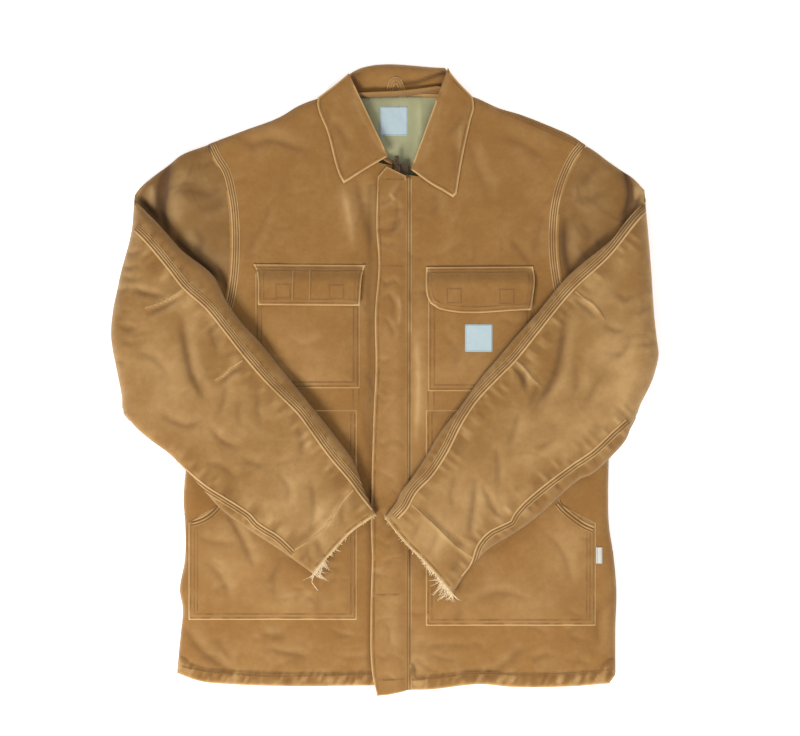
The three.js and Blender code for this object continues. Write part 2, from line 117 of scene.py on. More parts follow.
# Folds and creases: width, height, then the line they follow. A negative height is a valley.
MARKS = {
    "torso": [
        (8, -1.9, (-212, 336), (-188, 324), (-165, 331), (-125, 320), (-100, 316)),
        (5, -1.0, (-157, 256), (-175, 215), (-190, 185), (-200, 160)),
        (8, -2.3, (-47, 286), (-40, 250), (-31, 215), (-25, 185)),
        (9, 1.2, (-66, 272), (-58, 240), (-52, 200), (-48, 176)),
        (4, -1.1, (-35, 155), (-30, 120), (-34, 80)),
        (7, -1.2, (107, 330), (122, 290), (138, 255)),
        (6, -1.1, (62, 262), (64, 245), (60, 228)),
        (6, -1.5, (166, 196), (182, 176), (196, 158)),
        (7, -1.2, (214, 236), (204, 200), (199, 168)),
        (9, -1.4, (150, 338), (185, 325), (220, 300)),
        (7, -2.0, (-284, -338), (-262, -366), (-244, -382), (-212, -401)),
        (5, -1.5, (-180, -347), (-160, -349), (-140, -346)),
        (5, -1.6, (-172, -366), (-145, -373), (-105, -379)),
        (6, -1.2, (-238, -352), (-225, -372), (-216, -384)),
        (5, -1.7, (112, -404), (150, -395), (178, -372), (192, -362)),
        (5, -1.3, (195, -386), (212, -377), (228, -376)),
        (5, -1.2, (48, -366), (80, -362), (118, -366)),
        (7, -1.6, (292, -300), (285, -330), (288, -362)),
        (6, -1.3, (-30, 20), (-34, -40), (-30, -100)),
        (7, 1.2, (36, 70), (40, 0), (36, -90)),
    ],
    "pocket": [
        (6, -2.2, (-224, -178), (-208, -206), (-192, -240), (-186, -255)),
        (6, -1.3, (-254, -246), (-236, -262), (-224, -285), (-222, -305)),
        (7, -1.1, (-150, -240), (-160, -275), (-156, -305)),
        (6, -1.1, (-262, -215), (-232, -222), (-205, -220)),
        (5, -0.9, (-100, -290), (-95, -305), (-104, -318)),
        (6, -1.4, (120, -300), (150, -290), (190, -298)),
        (6, -1.2, (215, -205), (240, -240), (250, -280)),
        (7, -1.1, (100, -310), (92, -330)),
        (5, -0.8, (-140, 60), (-120, 48), (-90, 56)),
        (6, -0.8, (70, 70), (95, 40), (90, 10)),
        (5, -0.9, (150, 86), (175, 78), (192, 82)),
    ],
    "storm": [
        (3.5, -1.6, (-13, 142), (-4, 132), (6, 138), (14, 130)),
        (3.5, -1.5, (-10, 112), (0, 118), (7, 106), (4, 90)),
        (3.2, -1.4, (-12, 88), (-3, 82), (5, 66), (3, 56)),
        (3.2, 1.1, (12, 120), (15, 96), (12, 74)),
        (3.2, -1.5, (5, 251), (12, 262), (19, 275)),
        (3.2, -1.3, (5, 251), (-6, 246), (-14, 240)),
        (3.2, -1.4, (5, 251), (11, 238), (9, 222), (5, 205)),
        (3.0, 1.2, (0, 259), (5, 251), (8, 246)),
        (3.5, -1.3, (15, 232), (12, 215), (-2, 205)),
        (3.5, -1.0, (-14, 192), (-2, 186), (10, 190)),
        (3.2, -1.0, (-18, 30), (-6, 26), (4, 32)),
        (3.0, -0.9, (-18, -20), (-8, -28), (6, -24)),
        (3.5, -1.0, (-20, -80), (-8, -88), (8, -82)),
        (3.0, -0.9, (-22, -262), (-10, -268), (2, -262)),
        (3.2, -1.1, (-6, -330), (0, -345), (-2, -362)),
        (3.2, -1.0, (-20, -372), (-10, -380), (4, -376)),
        (3.0, -1.0, (-16, -408), (-4, -404), (8, -410)),
    ],
    "upper_right": [
        (10, -7.5, (-298, 303), (-307, 285), (-312, 265), (-314, 240), (-310, 215), (-300, 195)),
        (9, -5.0, (-300, 200), (-285, 184), (-265, 164), (-245, 148), (-228, 134)),
        (7, -6.5, (-345, 252), (-334, 238), (-322, 224), (-314, 212)),
        (6, 2.6, (-326, 270), (-325, 250), (-321, 234)),
        (10, -2.0, (-300, 258), (-275, 262), (-245, 255), (-232, 268)),
        (9, -1.8, (-262, 168), (-258, 195), (-270, 215)),
        (7, -1.2, (-224, 250), (-240, 240), (-262, 236)),
        (6, -2.0, (-225, 120), (-228, 140), (-236, 158)),
    ],
    "upper_left": [
        (7, -6.5, (318, 296), (327, 278), (331, 262), (328, 240), (318, 224)),
        (6, -5.5, (347, 257), (337, 240), (325, 222), (316, 210)),
        (8, -4.2, (242, 228), (240, 208), (240, 188), (244, 162), (250, 142)),
        (8, -3.0, (316, 214), (296, 196), (276, 180), (256, 160), (246, 146)),
        (6, 2.0, (336, 268), (338, 250), (332, 236)),
        (8, -1.6, (300, 262), (280, 250), (258, 252)),
        (7, -1.5, (290, 300), (275, 285), (262, 268)),
        (7, -1.5, (262, 220), (275, 205), (270, 190)),
    ],
    "forearm_right": [
        (2.6, 2.2, (-281, 124), (-300, 112), (-316, 105), (-333, 99)),
        (4.2, -2.4, (-284, 117), (-302, 105), (-318, 97), (-332, 90)),
        (2.6, 2.2, (-200, 27), (-214, 18), (-228, 6), (-238, 0)),
        (4.2, -2.2, (-203, 20), (-217, 10), (-232, -2)),
        (4, -1.9, (-362, 176), (-350, 173), (-338, 178)),
        (4, -1.8, (-368, 157), (-352, 155), (-340, 159)),
        (4, -1.6, (-369, 142), (-354, 140), (-342, 146)),
        (5, -3.0, (-350, 128), (-336, 121), (-322, 118), (-306, 117)),
        (6, -1.8, (-372, 78), (-356, 70), (-345, 74)),
        (7, -3.6, (-284, 88), (-281, 60), (-276, 35), (-270, 10), (-260, -10), (-250, -28)),
        (6, -1.7, (-246, 82), (-241, 60), (-234, 36)),
        (6, -1.8, (-312, -44), (-292, -56), (-272, -60), (-250, -50)),
        (5, -1.8, (-246, -60), (-234, -76), (-218, -86), (-200, -89)),
        (5, -1.6, (-222, 0), (-226, -24), (-233, -46)),
        (6, -1.4, (-202, -104), (-184, -112), (-166, -116)),
        (5, -1.5, (-152, -126), (-140, -140), (-137, -152), (-141, -166)),
        (6, -1.8, (-126, -58), (-120, -78), (-118, -102)),
        (5, -1.7, (-108, -128), (-104, -156), (-104, -184), (-109, -206)),
        (6, -1.4, (-176, -8), (-180, -34), (-176, -60)),
        (6, -1.2, (-200, -20), (-206, -46), (-200, -64)),
        (7, -1.4, (-345, 40), (-320, 30), (-300, 6)),
        (6, -1.2, (-250, -110), (-226, -118), (-206, -134)),
        (3.0, 1.9, (-129, -229), (-100, -210), (-85, -195), (-75, -180), (-60, -160), (-49, -148)),
        (5, -1.4, (-131, -221), (-104, -200), (-88, -184), (-72, -162), (-60, -150)),
        (5, -1.6, (-62, -158), (-66, -180), (-62, -196)),
        (5, -1.5, (-100, -210), (-96, -226), (-88, -240)),
        (4, -1.2, (-112, -222), (-110, -236), (-104, -250)),
    ],
    "forearm_left": [
        (2.6, 2.2, (253, 121), (265, 112), (277, 105), (286, 94), (293, 82)),
        (4.2, -2.4, (250, 113), (262, 104), (272, 97), (281, 86)),
        (2.8, 2.6, (172, 26), (181, 20), (190, 9), (200, -2), (207, -10)),
        (4.4, -2.8, (170, 17), (178, 10), (184, 0), (188, -10)),
        (5, -2.0, (292, 78), (300, 73), (312, 69), (322, 72)),
        (7, -3.4, (239, 96), (237, 66), (232, 34), (224, 6), (214, -12), (204, -26), (195, -46)),
        (5, -1.8, (186, 20), (183, 6), (182, -14)),
        (5, -1.8, (206, 2), (198, -18), (190, -36)),
        (6, -2.6, (118, -130), (115, -160), (111, -190), (109, -216)),
        (5, -1.8, (145, -90), (148, -118), (147, -146)),
        (5, -2.2, (124, -138), (134, -158), (144, -178), (162, -188)),
        (6, -1.6, (330, 60), (318, 40), (300, 28)),
        (6, -1.5, (340, 120), (322, 112), (306, 122)),
        (5, -1.5, (352, 100), (340, 92), (330, 96)),
        (6, -1.4, (290, 10), (276, -14), (262, -40)),
        (7, -1.5, (252, 30), (256, 4), (250, -24)),
        (6, -1.4, (232, -70), (216, -84), (196, -92)),
        (5, -1.7, (176, -40), (170, -66), (160, -88)),
        (5, -1.4, (90, -128), (84, -150), (86, -172)),
        (3.0, 1.8, (30, -168), (60, -195), (90, -224), (116, -243)),
        (5, -1.5, (38, -166), (64, -190), (92, -216), (114, -232)),
        (5, -1.5, (66, -200), (60, -222), (52, -236)),
        (5, -1.4, (96, -234), (90, -250), (82, -262)),
        (4, -1.2, (44, -188), (36, -204), (30, -216)),
    ],
    "leaf": [
        (6, -1.4, (-78, 358), (-66, 340), (-56, 322)),
        (5, -1.0, (-88, 376), (-82, 350)),
        (7, -1.4, (104, 372), (92, 350), (78, 338)),
        (6, -1.3, (88, 330), (92, 300), (88, 276)),
        (5, 0.9, (98, 352), (96, 330), (99, 310)),
    ],
    "lining": [
        (9, -2.6, (62, 392), (60, 360), (52, 330), (44, 304)),
        (6, 1.8, (40, 392), (42, 350), (38, 316)),
        (6, -2.0, (34, 336), (28, 318), (22, 300)),
        (7, -2.2, (-36, 380), (-34, 352), (-24, 330), (-12, 312)),
        (5, 1.4, (-18, 336), (-8, 322), (4, 312)),
        (6, -1.2, (-44, 386), (-38, 366), (-40, 350)),
    ],
}
# Fields of slight creases: how many, x and y limits, angle and spread in degrees, height.
SCATTERED = {
    "torso": [(36, (-280, 290), (-395, -340), 8, 40, 0.8), (26, (-230, 240), (170, 320), 60, 70, 0.55),
              (16, (-45, -26), (-330, 250), 80, 40, 0.7), (18, (28, 50), (-400, 240), 10, 40, 0.7)],
    "pocket": [(22, (-265, -60), (-320, -200), 15, 60, 0.7), (16, (65, 270), (-320, -210), 10, 60, 0.6),
               (8, (-170, -55), (0, 95), 20, 60, 0.4), (8, (60, 185), (0, 90), 20, 60, 0.4)],
    "storm": [(46, (-20, 18), (-420, 270), 5, 50, 0.75)],
    "forearm_right": [(34, (-360, -70), (-250, 160), 20, 75, 0.6), (20, (-372, -335), (20, 200), 5, 20, 1.0)],
    "forearm_left": [(34, (40, 350), (-270, 160), 160, 75, 0.6), (16, (335, 366), (20, 210), 175, 20, 0.9)],
    "upper_right": [(20, (-340, -230), (150, 310), 70, 60, 1.0)],
    "upper_left": [(20, (240, 340), (150, 310), 110, 60, 1.0)],
    "leaf": [(10, (-95, -40), (290, 390), 70, 60, 0.45), (10, (70, 110), (270, 390), 110, 60, 0.45)],
    "lining": [(8, (-30, 50), (300, 385), 90, 25, 0.8)],
}
# Rubbed places: centre, radii and amount.
RUBBED = {
    "torso": [(-130, 60, 90, 60, 0.10), (-170, -380, 120, 30, 0.10), (160, -380, 130, 30, 0.06),
              (40, 10, 16, 90, 0.18), (34, -380, 20, 60, 0.16), (35, -200, 14, 90, 0.12)],
    "pocket": [(-215, -230, 60, 60, 0.22), (-130, -300, 90, 22, 0.16), (120, 20, 60, 60, 0.10),
               (-110, 20, 60, 50, 0.14), (160, -300, 90, 40, 0.16), (250, -220, 40, 50, 0.22)],
    "storm": [(0, -60, 22, 80, 0.14), (0, -340, 24, 80, 0.20), (0, 60, 16, 60, 0.04)],
    "forearm_right": [(-315, 20, 60, 80, 0.24), (-250, -60, 80, 50, 0.12), (-140, -160, 70, 50, 0.18),
                      (-90, -190, 30, 30, 0.3), (-180, -60, 60, 60, 0.08), (-350, 180, 30, 50, 0.08)],
    "forearm_left": [(320, 20, 50, 80, 0.36), (250, -50, 80, 50, 0.16), (120, -170, 60, 50, 0.24),
                     (60, -210, 40, 40, 0.3), (200, -90, 60, 50, 0.16), (290, 110, 50, 50, 0.12)],
    "upper_right": [(-255, 230, 30, 60, 0.06)],
    "upper_left": [(275, 240, 30, 50, 0.14)],
    "leaf": [],
    "lining": [],
}


# ------------------------------------------------------------------ plan geometry


def draft(points):
    """Drafting points as an array in the coat's frame, in mm."""
    return np.array(points, float).reshape(-1, 2) + (SHIFT, 0.0)


def unit(v):
    return v / np.maximum(np.linalg.norm(v, axis=-1, keepdims=True), 1e-9)


def flowing(points, step=4.0, closed=False, corner=36.0):
    """A smooth line through the points, with a corner kept wherever it turns by more than corner degrees."""
    pts = np.asarray(points, float)
    n = len(pts)
    spans = n if closed else n - 1
    before, after = np.roll(pts, 1, 0), np.roll(pts, -1, 0)
    a, b = unit(pts - before), unit(after - pts)
    along = unit(a + b)
    sharp = (a * b).sum(1) < math.cos(math.radians(corner))
    if not closed:
        sharp[[0, -1]] = True
    out = []
    for i in range(spans):
        j = (i + 1) % n
        p, q = pts[i], pts[j]
        length = np.linalg.norm(q - p)
        straight = (q - p) / max(length, 1e-9)
        u = (straight if sharp[i] else along[i]) * length
        v = (straight if sharp[j] else along[j]) * length
        t = np.linspace(0, 1, max(1, int(math.ceil(length / step))) + 1)[:-1, None]
        out.append((2 * t**3 - 3 * t**2 + 1) * p + (t**3 - 2 * t**2 + t) * u
                   + (3 * t**2 - 2 * t**3) * q + (t**3 - t**2) * v)
    if not closed:
        out.append(pts[-1:])
    return np.concatenate(out)


def spaced(line, step):
    """The line's points at an even spacing, with their directions and distances along it."""
    along = np.concatenate([[0], np.cumsum(np.linalg.norm(np.diff(line, axis=0), axis=1))])
    count = max(2, int(round(along[-1] / step)) + 1)
    at = np.linspace(0, along[-1], count)
    pts = np.stack([np.interp(at, along, line[:, k]) for k in range(line.shape[1])], 1)
    return pts, unit(np.gradient(pts, axis=0)), at


def nearest(p, a, b):
    """Distance of each point of p from segments a-b, the place along them and the side, in blocks to save memory."""
    ab = b - a
    length = np.maximum((ab**2).sum(1), 1e-12)
    dist, where, side = np.empty(len(p)), np.empty(len(p)), np.empty(len(p))
    starts = np.concatenate([[0], np.cumsum(np.sqrt(length))])
    for i in range(0, len(p), 4000):
        q = p[i : i + 4000, None, :] - a[None]
        t = np.clip((q * ab).sum(2) / length, 0, 1)
        off = q - t[..., None] * ab
        d = (off**2).sum(2)
        k = d.argmin(1)
        rows = np.arange(len(k))
        dist[i : i + 4000] = np.sqrt(d[rows, k])
        where[i : i + 4000] = (starts[k] + t[rows, k] * np.sqrt(length[k])) / starts[-1]
        side[i : i + 4000] = np.sign(ab[k, 0] * q[rows, k, 1] - ab[k, 1] * q[rows, k, 0])
    return dist, where, side


def from_line(p, line):
    return nearest(p, line[:-1], line[1:])


def noise(p, size, seed, angle=0.0, stretch=1.0):
    """Smooth noise from -1 to 1, with features about size mm wide, stretched along angle."""
    table = np.random.RandomState(seed).uniform(-1, 1, (64, 64))
    c, s = math.cos(math.radians(angle)), math.sin(math.radians(angle))
    u = (p[:, 0] * c + p[:, 1] * s) / (size * stretch) + 31.7
    v = (p[:, 1] * c - p[:, 0] * s) / size + 17.3
    i, j = np.floor(u).astype(int), np.floor(v).astype(int)
    fu, fv = u - i, v - j
    fu, fv = fu**3 * (fu * (fu * 6 - 15) + 10), fv**3 * (fv * (fv * 6 - 15) + 10)
    at = lambda di, dj: table[(i + di) % 64, (j + dj) % 64]
    low = at(0, 0) * (1 - fu) + at(1, 0) * fu
    high = at(0, 1) * (1 - fu) + at(1, 1) * fu
    return low * (1 - fv) + high * fv


def ease(x):
    x = np.clip(x, 0, 1)
    return x * x * (3 - 2 * x)


def rounding(d, radius):
    """A quarter-ellipse rise from 0 at an edge to 1 at radius in from it."""
    return np.sqrt(np.clip(1 - (1 - np.clip(d / radius, 0, 1)) ** 2, 0, 1))


def creases():
    """The listed folds of each group, with its fields of slight creases added."""
    every = {}
    for seed, (group, marks) in enumerate(MARKS.items()):
        rng = np.random.RandomState(900 + seed)
        every[group] = list(marks)
        for count, xs, ys, angle, spread, height in SCATTERED[group]:
            for _ in range(count):
                middle = np.array((rng.uniform(*xs), rng.uniform(*ys)))
                a = math.radians(angle + rng.uniform(-spread, spread))
                half = np.array((math.cos(a), math.sin(a))) * rng.uniform(6, 22)
                bend = np.array((-half[1], half[0])) * rng.uniform(-0.3, 0.3)
                points = (middle - half, middle + bend, middle + half)
                every[group].append((rng.uniform(2.6, 4.6), -height * rng.uniform(0.4, 1.2), *points))
    return every


CREASES = creases()


def relief(p, group, scale=1.0):
    """Height, wear and soil_and_shade that the folds, creases and rubbed places of a group give at p; the darkening in
    each valley is painted shade.
    """
    z, wear, soil_and_shade = np.zeros(len(p)), np.zeros(len(p)), np.zeros(len(p))
    for width, height, *points in CREASES[group]:
        line = flowing(draft(points), 5)
        reach = 5 * width
        near = np.all((p > line.min(0) - reach) & (p < line.max(0) + reach), axis=1)
        if not near.any():
            continue
        d, t, side = from_line(p[near], line)
        fade = np.clip(np.minimum(t, 1 - t) / 0.28, 0, 1) ** 0.7
        valley = np.exp((0.25 - np.hypot(d / width, 0.25)) / 0.5) * fade
        bank = np.exp(-(((d * side - 1.6 * width) / (1.2 * width)) ** 2)) * fade
        z[near] += scale * height * (valley - 0.3 * bank)
        # painted shade: each valley is darkened as if in its own shadow
        soil_and_shade[near] += max(0.0, -height) * 0.16 * valley
        wear[near] += (max(0.0, height) * 0.35 * valley) + max(0.0, -height) * 0.07 * bank
    for x, y, rx, ry, amount in RUBBED[group]:
        q = (p - draft((x, y))) / (rx, ry)
        wear += amount * np.exp(-(q**2).sum(1))
    return z, wear, soil_and_shade


def outline_of(node):
    """A flat CAD panel's plan outline, anticlockwise, in mm."""
    bm = bmesh.new()
    bm.from_mesh(frame["nodes"][node].data)
    bmesh.ops.remove_doubles(bm, verts=bm.verts[:], dist=1e-6)
    high = max(v.co.z for v in bm.verts)
    top = {f for f in bm.faces if f.normal.z > 0.9 and f.calc_center_median().z > high - 1e-5}
    onward = {}
    for f in top:
        for loop in f.loops:
            if sum(g in top for g in loop.edge.link_faces) == 1:
                onward[loop.vert] = loop.link_loop_next.vert
    start = vert = next(iter(onward))
    chain = []
    while True:
        chain.append((vert.co.x / MM, vert.co.y / MM))
        vert = onward[vert]
        if vert is start:
            break
    bm.free()
    out = np.array(chain)
    keep = np.linalg.norm(out - np.roll(out, 1, 0), axis=1) > 0.6
    return out[keep]


def box_outline(node):
    """The plan outline of a node's box, and its lower and upper heights, in mm."""
    low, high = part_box(node)
    plan = np.array([(low.x, low.y), (high.x, low.y), (high.x, high.y), (low.x, high.y)]) / MM
    return plan, low.z / MM, high.z / MM


def moved_in(outline, distance):
    """A closed anticlockwise outline moved inward."""
    return outline + distance * sideways(unit(np.roll(outline, -1, 0) - np.roll(outline, 1, 0)))


def with_fold(outline, fold):
    """The outline, with the fold line in place of its own points near that line."""
    keep = from_line(outline, fold)[0] > 15
    first = next(i for i in range(len(keep)) if keep[i] and not keep[i - 1])
    kept = np.roll(outline, -first, 0)[np.roll(keep, -first)]
    if np.linalg.norm(kept[-1] - fold[0]) > np.linalg.norm(kept[-1] - fold[-1]):
        fold = fold[::-1]
    return np.concatenate([kept, fold])


# ------------------------------------------------------------------ cloth meshes


def flat_cut(outline, step=GRID, rings=RINGS):
    """A flat panel of the outline, with edge loops inside its rim and cut into a fine lattice."""
    bm = bmesh.new()
    face = bm.faces.new([bm.verts.new((x, y, 0)) for x, y in outline])
    for width in rings:
        bmesh.ops.inset_region(bm, faces=[face], thickness=width, use_boundary=True, use_even_offset=True)
    for axis in (0, 1):
        normal = Vector((1, 0, 0)) if axis == 0 else Vector((0, 1, 0))
        low, high = outline[:, axis].min(), outline[:, axis].max()
        left = bm.faces[:]
        place = math.floor(low / step) * step + step * 1.37
        while place < high - 0.1:
            crossing = [f for f in left if max(v.co[axis] for v in f.verts) > place]
            left = crossing
            geom = {e for f in crossing for e in f.edges} | {v for f in crossing for v in f.verts} | set(crossing)
            cut = bmesh.ops.bisect_plane(bm, geom=list(geom), dist=1e-4, plane_co=normal * place, plane_no=normal)
            left = [f for f in cut["geom"] if isinstance(f, bmesh.types.BMFace)]
            place += step
    bmesh.ops.triangulate(bm, faces=[f for f in bm.faces if len(f.verts) > 4])
    return bm


class Cloth:
    """A flat-cut panel while it is being shaped: plan points p in mm, height z in mm, wear, and soil_and_shade, a
    darkening that is partly dirt and partly painted shade.
    """

    def __init__(self, outline, step=GRID, rings=RINGS, faces_down=False):
        self.outline = outline
        self.bm = flat_cut(outline, step, rings)
        self.p = np.array([v.co.xy for v in self.bm.verts])
        self.z = np.zeros(len(self.p))
        self.wear, self.soil_and_shade = np.zeros(len(self.p)), np.zeros(len(self.p))
        self.faces_down = faces_down

    def rim(self, test=None):
        """Distance in from the outline's edges, or from those whose middle, in the drafting frame, passes test."""
        a, b = self.outline, np.roll(self.outline, -1, 0)
        if test:
            middle = (a + b) / 2 - (SHIFT, 0)
            chosen = test(middle[:, 0], middle[:, 1])
            a, b = a[chosen], b[chosen]
        if len(a) == 0:
            return np.full(len(self.p), 1e3)
        return nearest(self.p, a, b)[0]

    def add_relief(self, group, scale=1.0):
        z, wear, soil_and_shade = relief(self.p, group, scale)
        self.z += z
        self.wear += wear
        self.soil_and_shade += soil_and_shade

    def worn_edge(self, d, width=1.5, amount=1.0):
        self.wear += amount * np.exp(-((d / width) ** 2))

    def baked(self):
        """The panel's bmesh in metres, with its heights and attributes in place."""
        wear = self.bm.verts.layers.float.new("wear")
        soil_and_shade = self.bm.verts.layers.float.new("soil_and_shade")
        for v, (x, y), z, w, s in zip(self.bm.verts, self.p, self.z, self.wear, self.soil_and_shade):
            v.co = (x * MM, y * MM, z * MM)
            v[wear], v[soil_and_shade] = w, s
        if self.faces_down:
            bmesh.ops.reverse_faces(self.bm, faces=self.bm.faces[:])
        return self.bm


def finished(name, bm, material, body=None, replaces=(), thickness=0.0, smooth=True):
    """Makes the bmesh a piece that rides on a body, with its material, slot and cloth thickness."""
    mesh = bpy.data.meshes.new(name)
    bm.to_mesh(mesh)
    bm.free()
    mesh.polygons.foreach_set("use_smooth", [smooth] * len(mesh.polygons))
    mesh.materials.append(material)
    obj = bpy.data.objects.new(name, mesh)
    bpy.context.scene.collection.objects.link(obj)
    if thickness:
        solidify = obj.modifiers.new("cloth", "SOLIDIFY")
        solidify.thickness = thickness * MM
        solidify.offset = -1
    if replaces:
        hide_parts(*replaces)
    if isinstance(body, tuple):
        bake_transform(obj)
    elif body:
        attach(obj, body)
    return obj


def from_arrays(points, faces):
    """A bmesh of points in metres and faces, for a shape repeated many times."""
    mesh = bpy.data.meshes.new("repeated")
    mesh.from_pydata(points, [], faces)
    bm = bmesh.new()
    bm.from_mesh(mesh)
    bpy.data.meshes.remove(mesh)
    return bm


def template(bm):
    """The points and faces of a small shape, which is then let go."""
    points = np.array([v.co[:] for v in bm.verts])
    faces = [[v.index for v in f.verts] for f in bm.faces]
    bm.free()
    return points, faces


def lattice(rows, columns):
    """A grid's bmesh with wear and soil_and_shade layers, the latter partly dirt and partly painted shade, and each of
    its points with its row and column.
    """
    bm = bmesh.new()
    bmesh.ops.create_grid(bm, x_segments=columns - 1, y_segments=rows - 1, size=0.5)
    wear, soil_and_shade = bm.verts.layers.float.new("wear"), bm.verts.layers.float.new("soil_and_shade")
    places = [(v, round((v.co.y + 0.5) * (rows - 1)), round((v.co.x + 0.5) * (columns - 1))) for v in bm.verts]
    return bm, wear, soil_and_shade, places


def face_up(bm):
    """Turns the faces over if most of them look down."""
    bm.normal_update()
    if sum(f.normal.z for f in bm.faces) < 0:
        bmesh.ops.reverse_faces(bm, faces=bm.faces[:])
    return bm


def sideways(along):
    """The directions to the left of a line's own."""
    return np.stack([-along[:, 1], along[:, 0]], 1)


def joined(parts, weld=0.05):
    """One bmesh of several, with the points that meet welded."""
    whole = bmesh.new()
    for part in parts:
        mesh = bpy.data.meshes.new("part")
        part.to_mesh(mesh)
        part.free()
        whole.from_mesh(mesh)
        bpy.data.meshes.remove(mesh)
    bmesh.ops.remove_doubles(whole, verts=whole.verts[:], dist=weld * MM)
    return whole


def signed_area(outline):
    """The area inside a closed outline, in square metres, positive when it runs anticlockwise."""
    x, y = outline.T
    return (x * np.roll(y, -1) - y * np.roll(x, -1)).sum() / 2 * MM * MM


class Ground:
    """Finds the surface under a plan point, looking down from a height."""

    def __init__(self, *objects, top=80.0):
        self.trees = []
        for o in objects:
            bm = bmesh.new()
            bm.from_mesh(o.data)
            self.trees.append(BVHTree.FromBMesh(bm))
            bm.free()
        self.top = top

    def height(self, p):
        """Height in mm under each plan point, or not a number past the edge."""
        out = np.full(len(p), np.nan)
        for i, (x, y) in enumerate(p):
            found = [hit[0].z / MM for hit in
                     (t.ray_cast(Vector((x * MM, y * MM, self.top * MM)), Vector((0, 0, -1))) for t in self.trees)
                     if hit[0] is not None]
            if found:
                out[i] = max(found)
        return out


# ------------------------------------------------------------------ seams and stitches

THREAD = 0.62  # width of a stitch, mm
PITCH = 3.3  # from stitch to stitch, mm
STITCHES = {}  # body: list of (place, direction) arrays


def section(low, high, rows, worn=(), rise=0.75, dark=1.0, fine=0.65):
    """The cross-section of a sewn strip: offsets, heights, wear, and soil_and_shade, dark along each stitch row."""
    o = np.arange(low, high + fine / 2, fine)
    inside = np.minimum(o - low, high - o)
    h = -0.5 + (rise + 0.5) * rounding(inside, 1.3)
    wear, soil_and_shade = 0.10 * np.ones(len(o)), np.zeros(len(o))
    for r in rows:
        dip = np.exp(-(((o - r) / 0.75) ** 2))
        h -= 0.55 * dip
        # each stitch row is darkened
        soil_and_shade += dark * dip
    for w, amount in worn:
        ridge = np.exp(-(((o - w) / 0.85) ** 2))
        h += 0.45 * amount * ridge
        wear += amount * ridge
    return o, h, wear, soil_and_shade


def strip(line, cross, ground, step=3.5, pucker=0.22, seed=1, hangs=False):
    """The bmesh of a strip with that cross-section, laid along a line on the ground.

    Where the ground ends, the strip is cut short, or carries on level if it hangs.
    """
    o, h, wear, soil_and_shade = cross
    pts, along, at = spaced(line, step)
    side = sideways(along)
    plan = pts[:, None, :] + side[:, None, :] * o[None, :, None]
    low = ground.height(plan.reshape(-1, 2)).reshape(len(pts), len(o))
    heart = int((~np.isnan(low)).sum(0).argmax())
    for order in (range(heart + 1, len(o)), range(heart - 1, -1, -1)):
        for k in order:
            inner = k - 1 if k > heart else k + 1
            past = np.isnan(low[:, k])
            low[past, k] = low[past, inner] - (0.0 if hangs else 0.2)
            if not hangs:
                plan[past, k] = plan[past, inner] + side[past] * (0.05 if k > heart else -0.05)
    on = ~np.isnan(low[:, heart])
    pts, plan, low, at = pts[on], plan[on], low[on], at[on]
    low = np.maximum(low, low.mean(1, keepdims=True) - 2.5)
    wobble = pucker * noise(np.stack([at, 0 * at], 1), 9, seed)[:, None] * (h > 0)[None]
    z = low + h[None, :] + wobble
    bm, worn, soiled_and_shaded, places = lattice(len(pts), len(o))
    fray = 1 + 0.45 * noise(np.stack([at, 0 * at], 1), 22, seed + 5)
    for v, i, k in places:
        v[worn], v[soiled_and_shaded] = wear[k] * fray[i], soil_and_shade[k]
        v.co = (plan[i, k, 0] * MM, plan[i, k, 1] * MM, z[i, k] * MM)
    return face_up(bm)


def sew(line, offset, ground, body, lift=0.25, pitch=PITCH):
    """Records a row of stitches beside a line, lying on the ground."""
    pts, along, _ = spaced(line, pitch)
    plan = pts + sideways(along) * offset
    z = ground.height(plan) + lift
    place = np.concatenate([plan, z[:, None]], 1)[~np.isnan(z)]
    if len(place) < 2:
        return
    run = unit(np.gradient(place, axis=0))
    STITCHES.setdefault(body, []).append((place, run))


def seam(parts, line, ground, body, low, high, rows, worn=(), rise=0.75, seed=1, dark=1.0, hangs=False):
    """Adds a sewn strip to parts and its rows of stitches to the body's thread."""
    parts.append(strip(line, section(low, high, rows, worn, rise, dark), ground, seed=seed, hangs=hangs))
    for r in rows:
        sew(line, r, ground, body, lift=rise - 0.15)


def topstitch(parts, line, ground, body, rows=(0.0,), seed=1):
    """Rows of stitching through flat cloth, each in the shallow groove that it pulls."""
    for r in rows:
        seam(parts, line, ground, body, r - 1.9, r + 1.9, (r,), (), rise=0.32, seed=seed)


def thread_piece(name, body, material):
    """All the stitches of a body as one piece: each a short bead of thread."""
    bead = bmesh.new()
    bmesh.ops.create_icosphere(bead, subdivisions=1, radius=0.5)
    shape, tris = template(bead)
    place, run = (np.concatenate(column) for column in zip(*STITCHES[body]))
    up = np.cross(run, np.cross((0, 0, 1.0), run))
    up, across = unit(up), unit(np.cross((0, 0, 1.0), run))
    bead = shape * (PITCH * 0.8, THREAD, THREAD)
    pts = (place[:, None] + bead[None, :, :1] * run[:, None] + bead[None, :, 1:2] * across[:, None]
           + bead[None, :, 2:] * up[:, None]) * MM
    faces = (np.array(tris)[None] + (np.arange(len(place)) * len(shape))[:, None, None]).reshape(-1, 3)
    bm = from_arrays(pts.reshape(-1, 3), faces)
    finished(name, bm, material, "coat" if body == "labels" else body)


# ------------------------------------------------------------------ materials


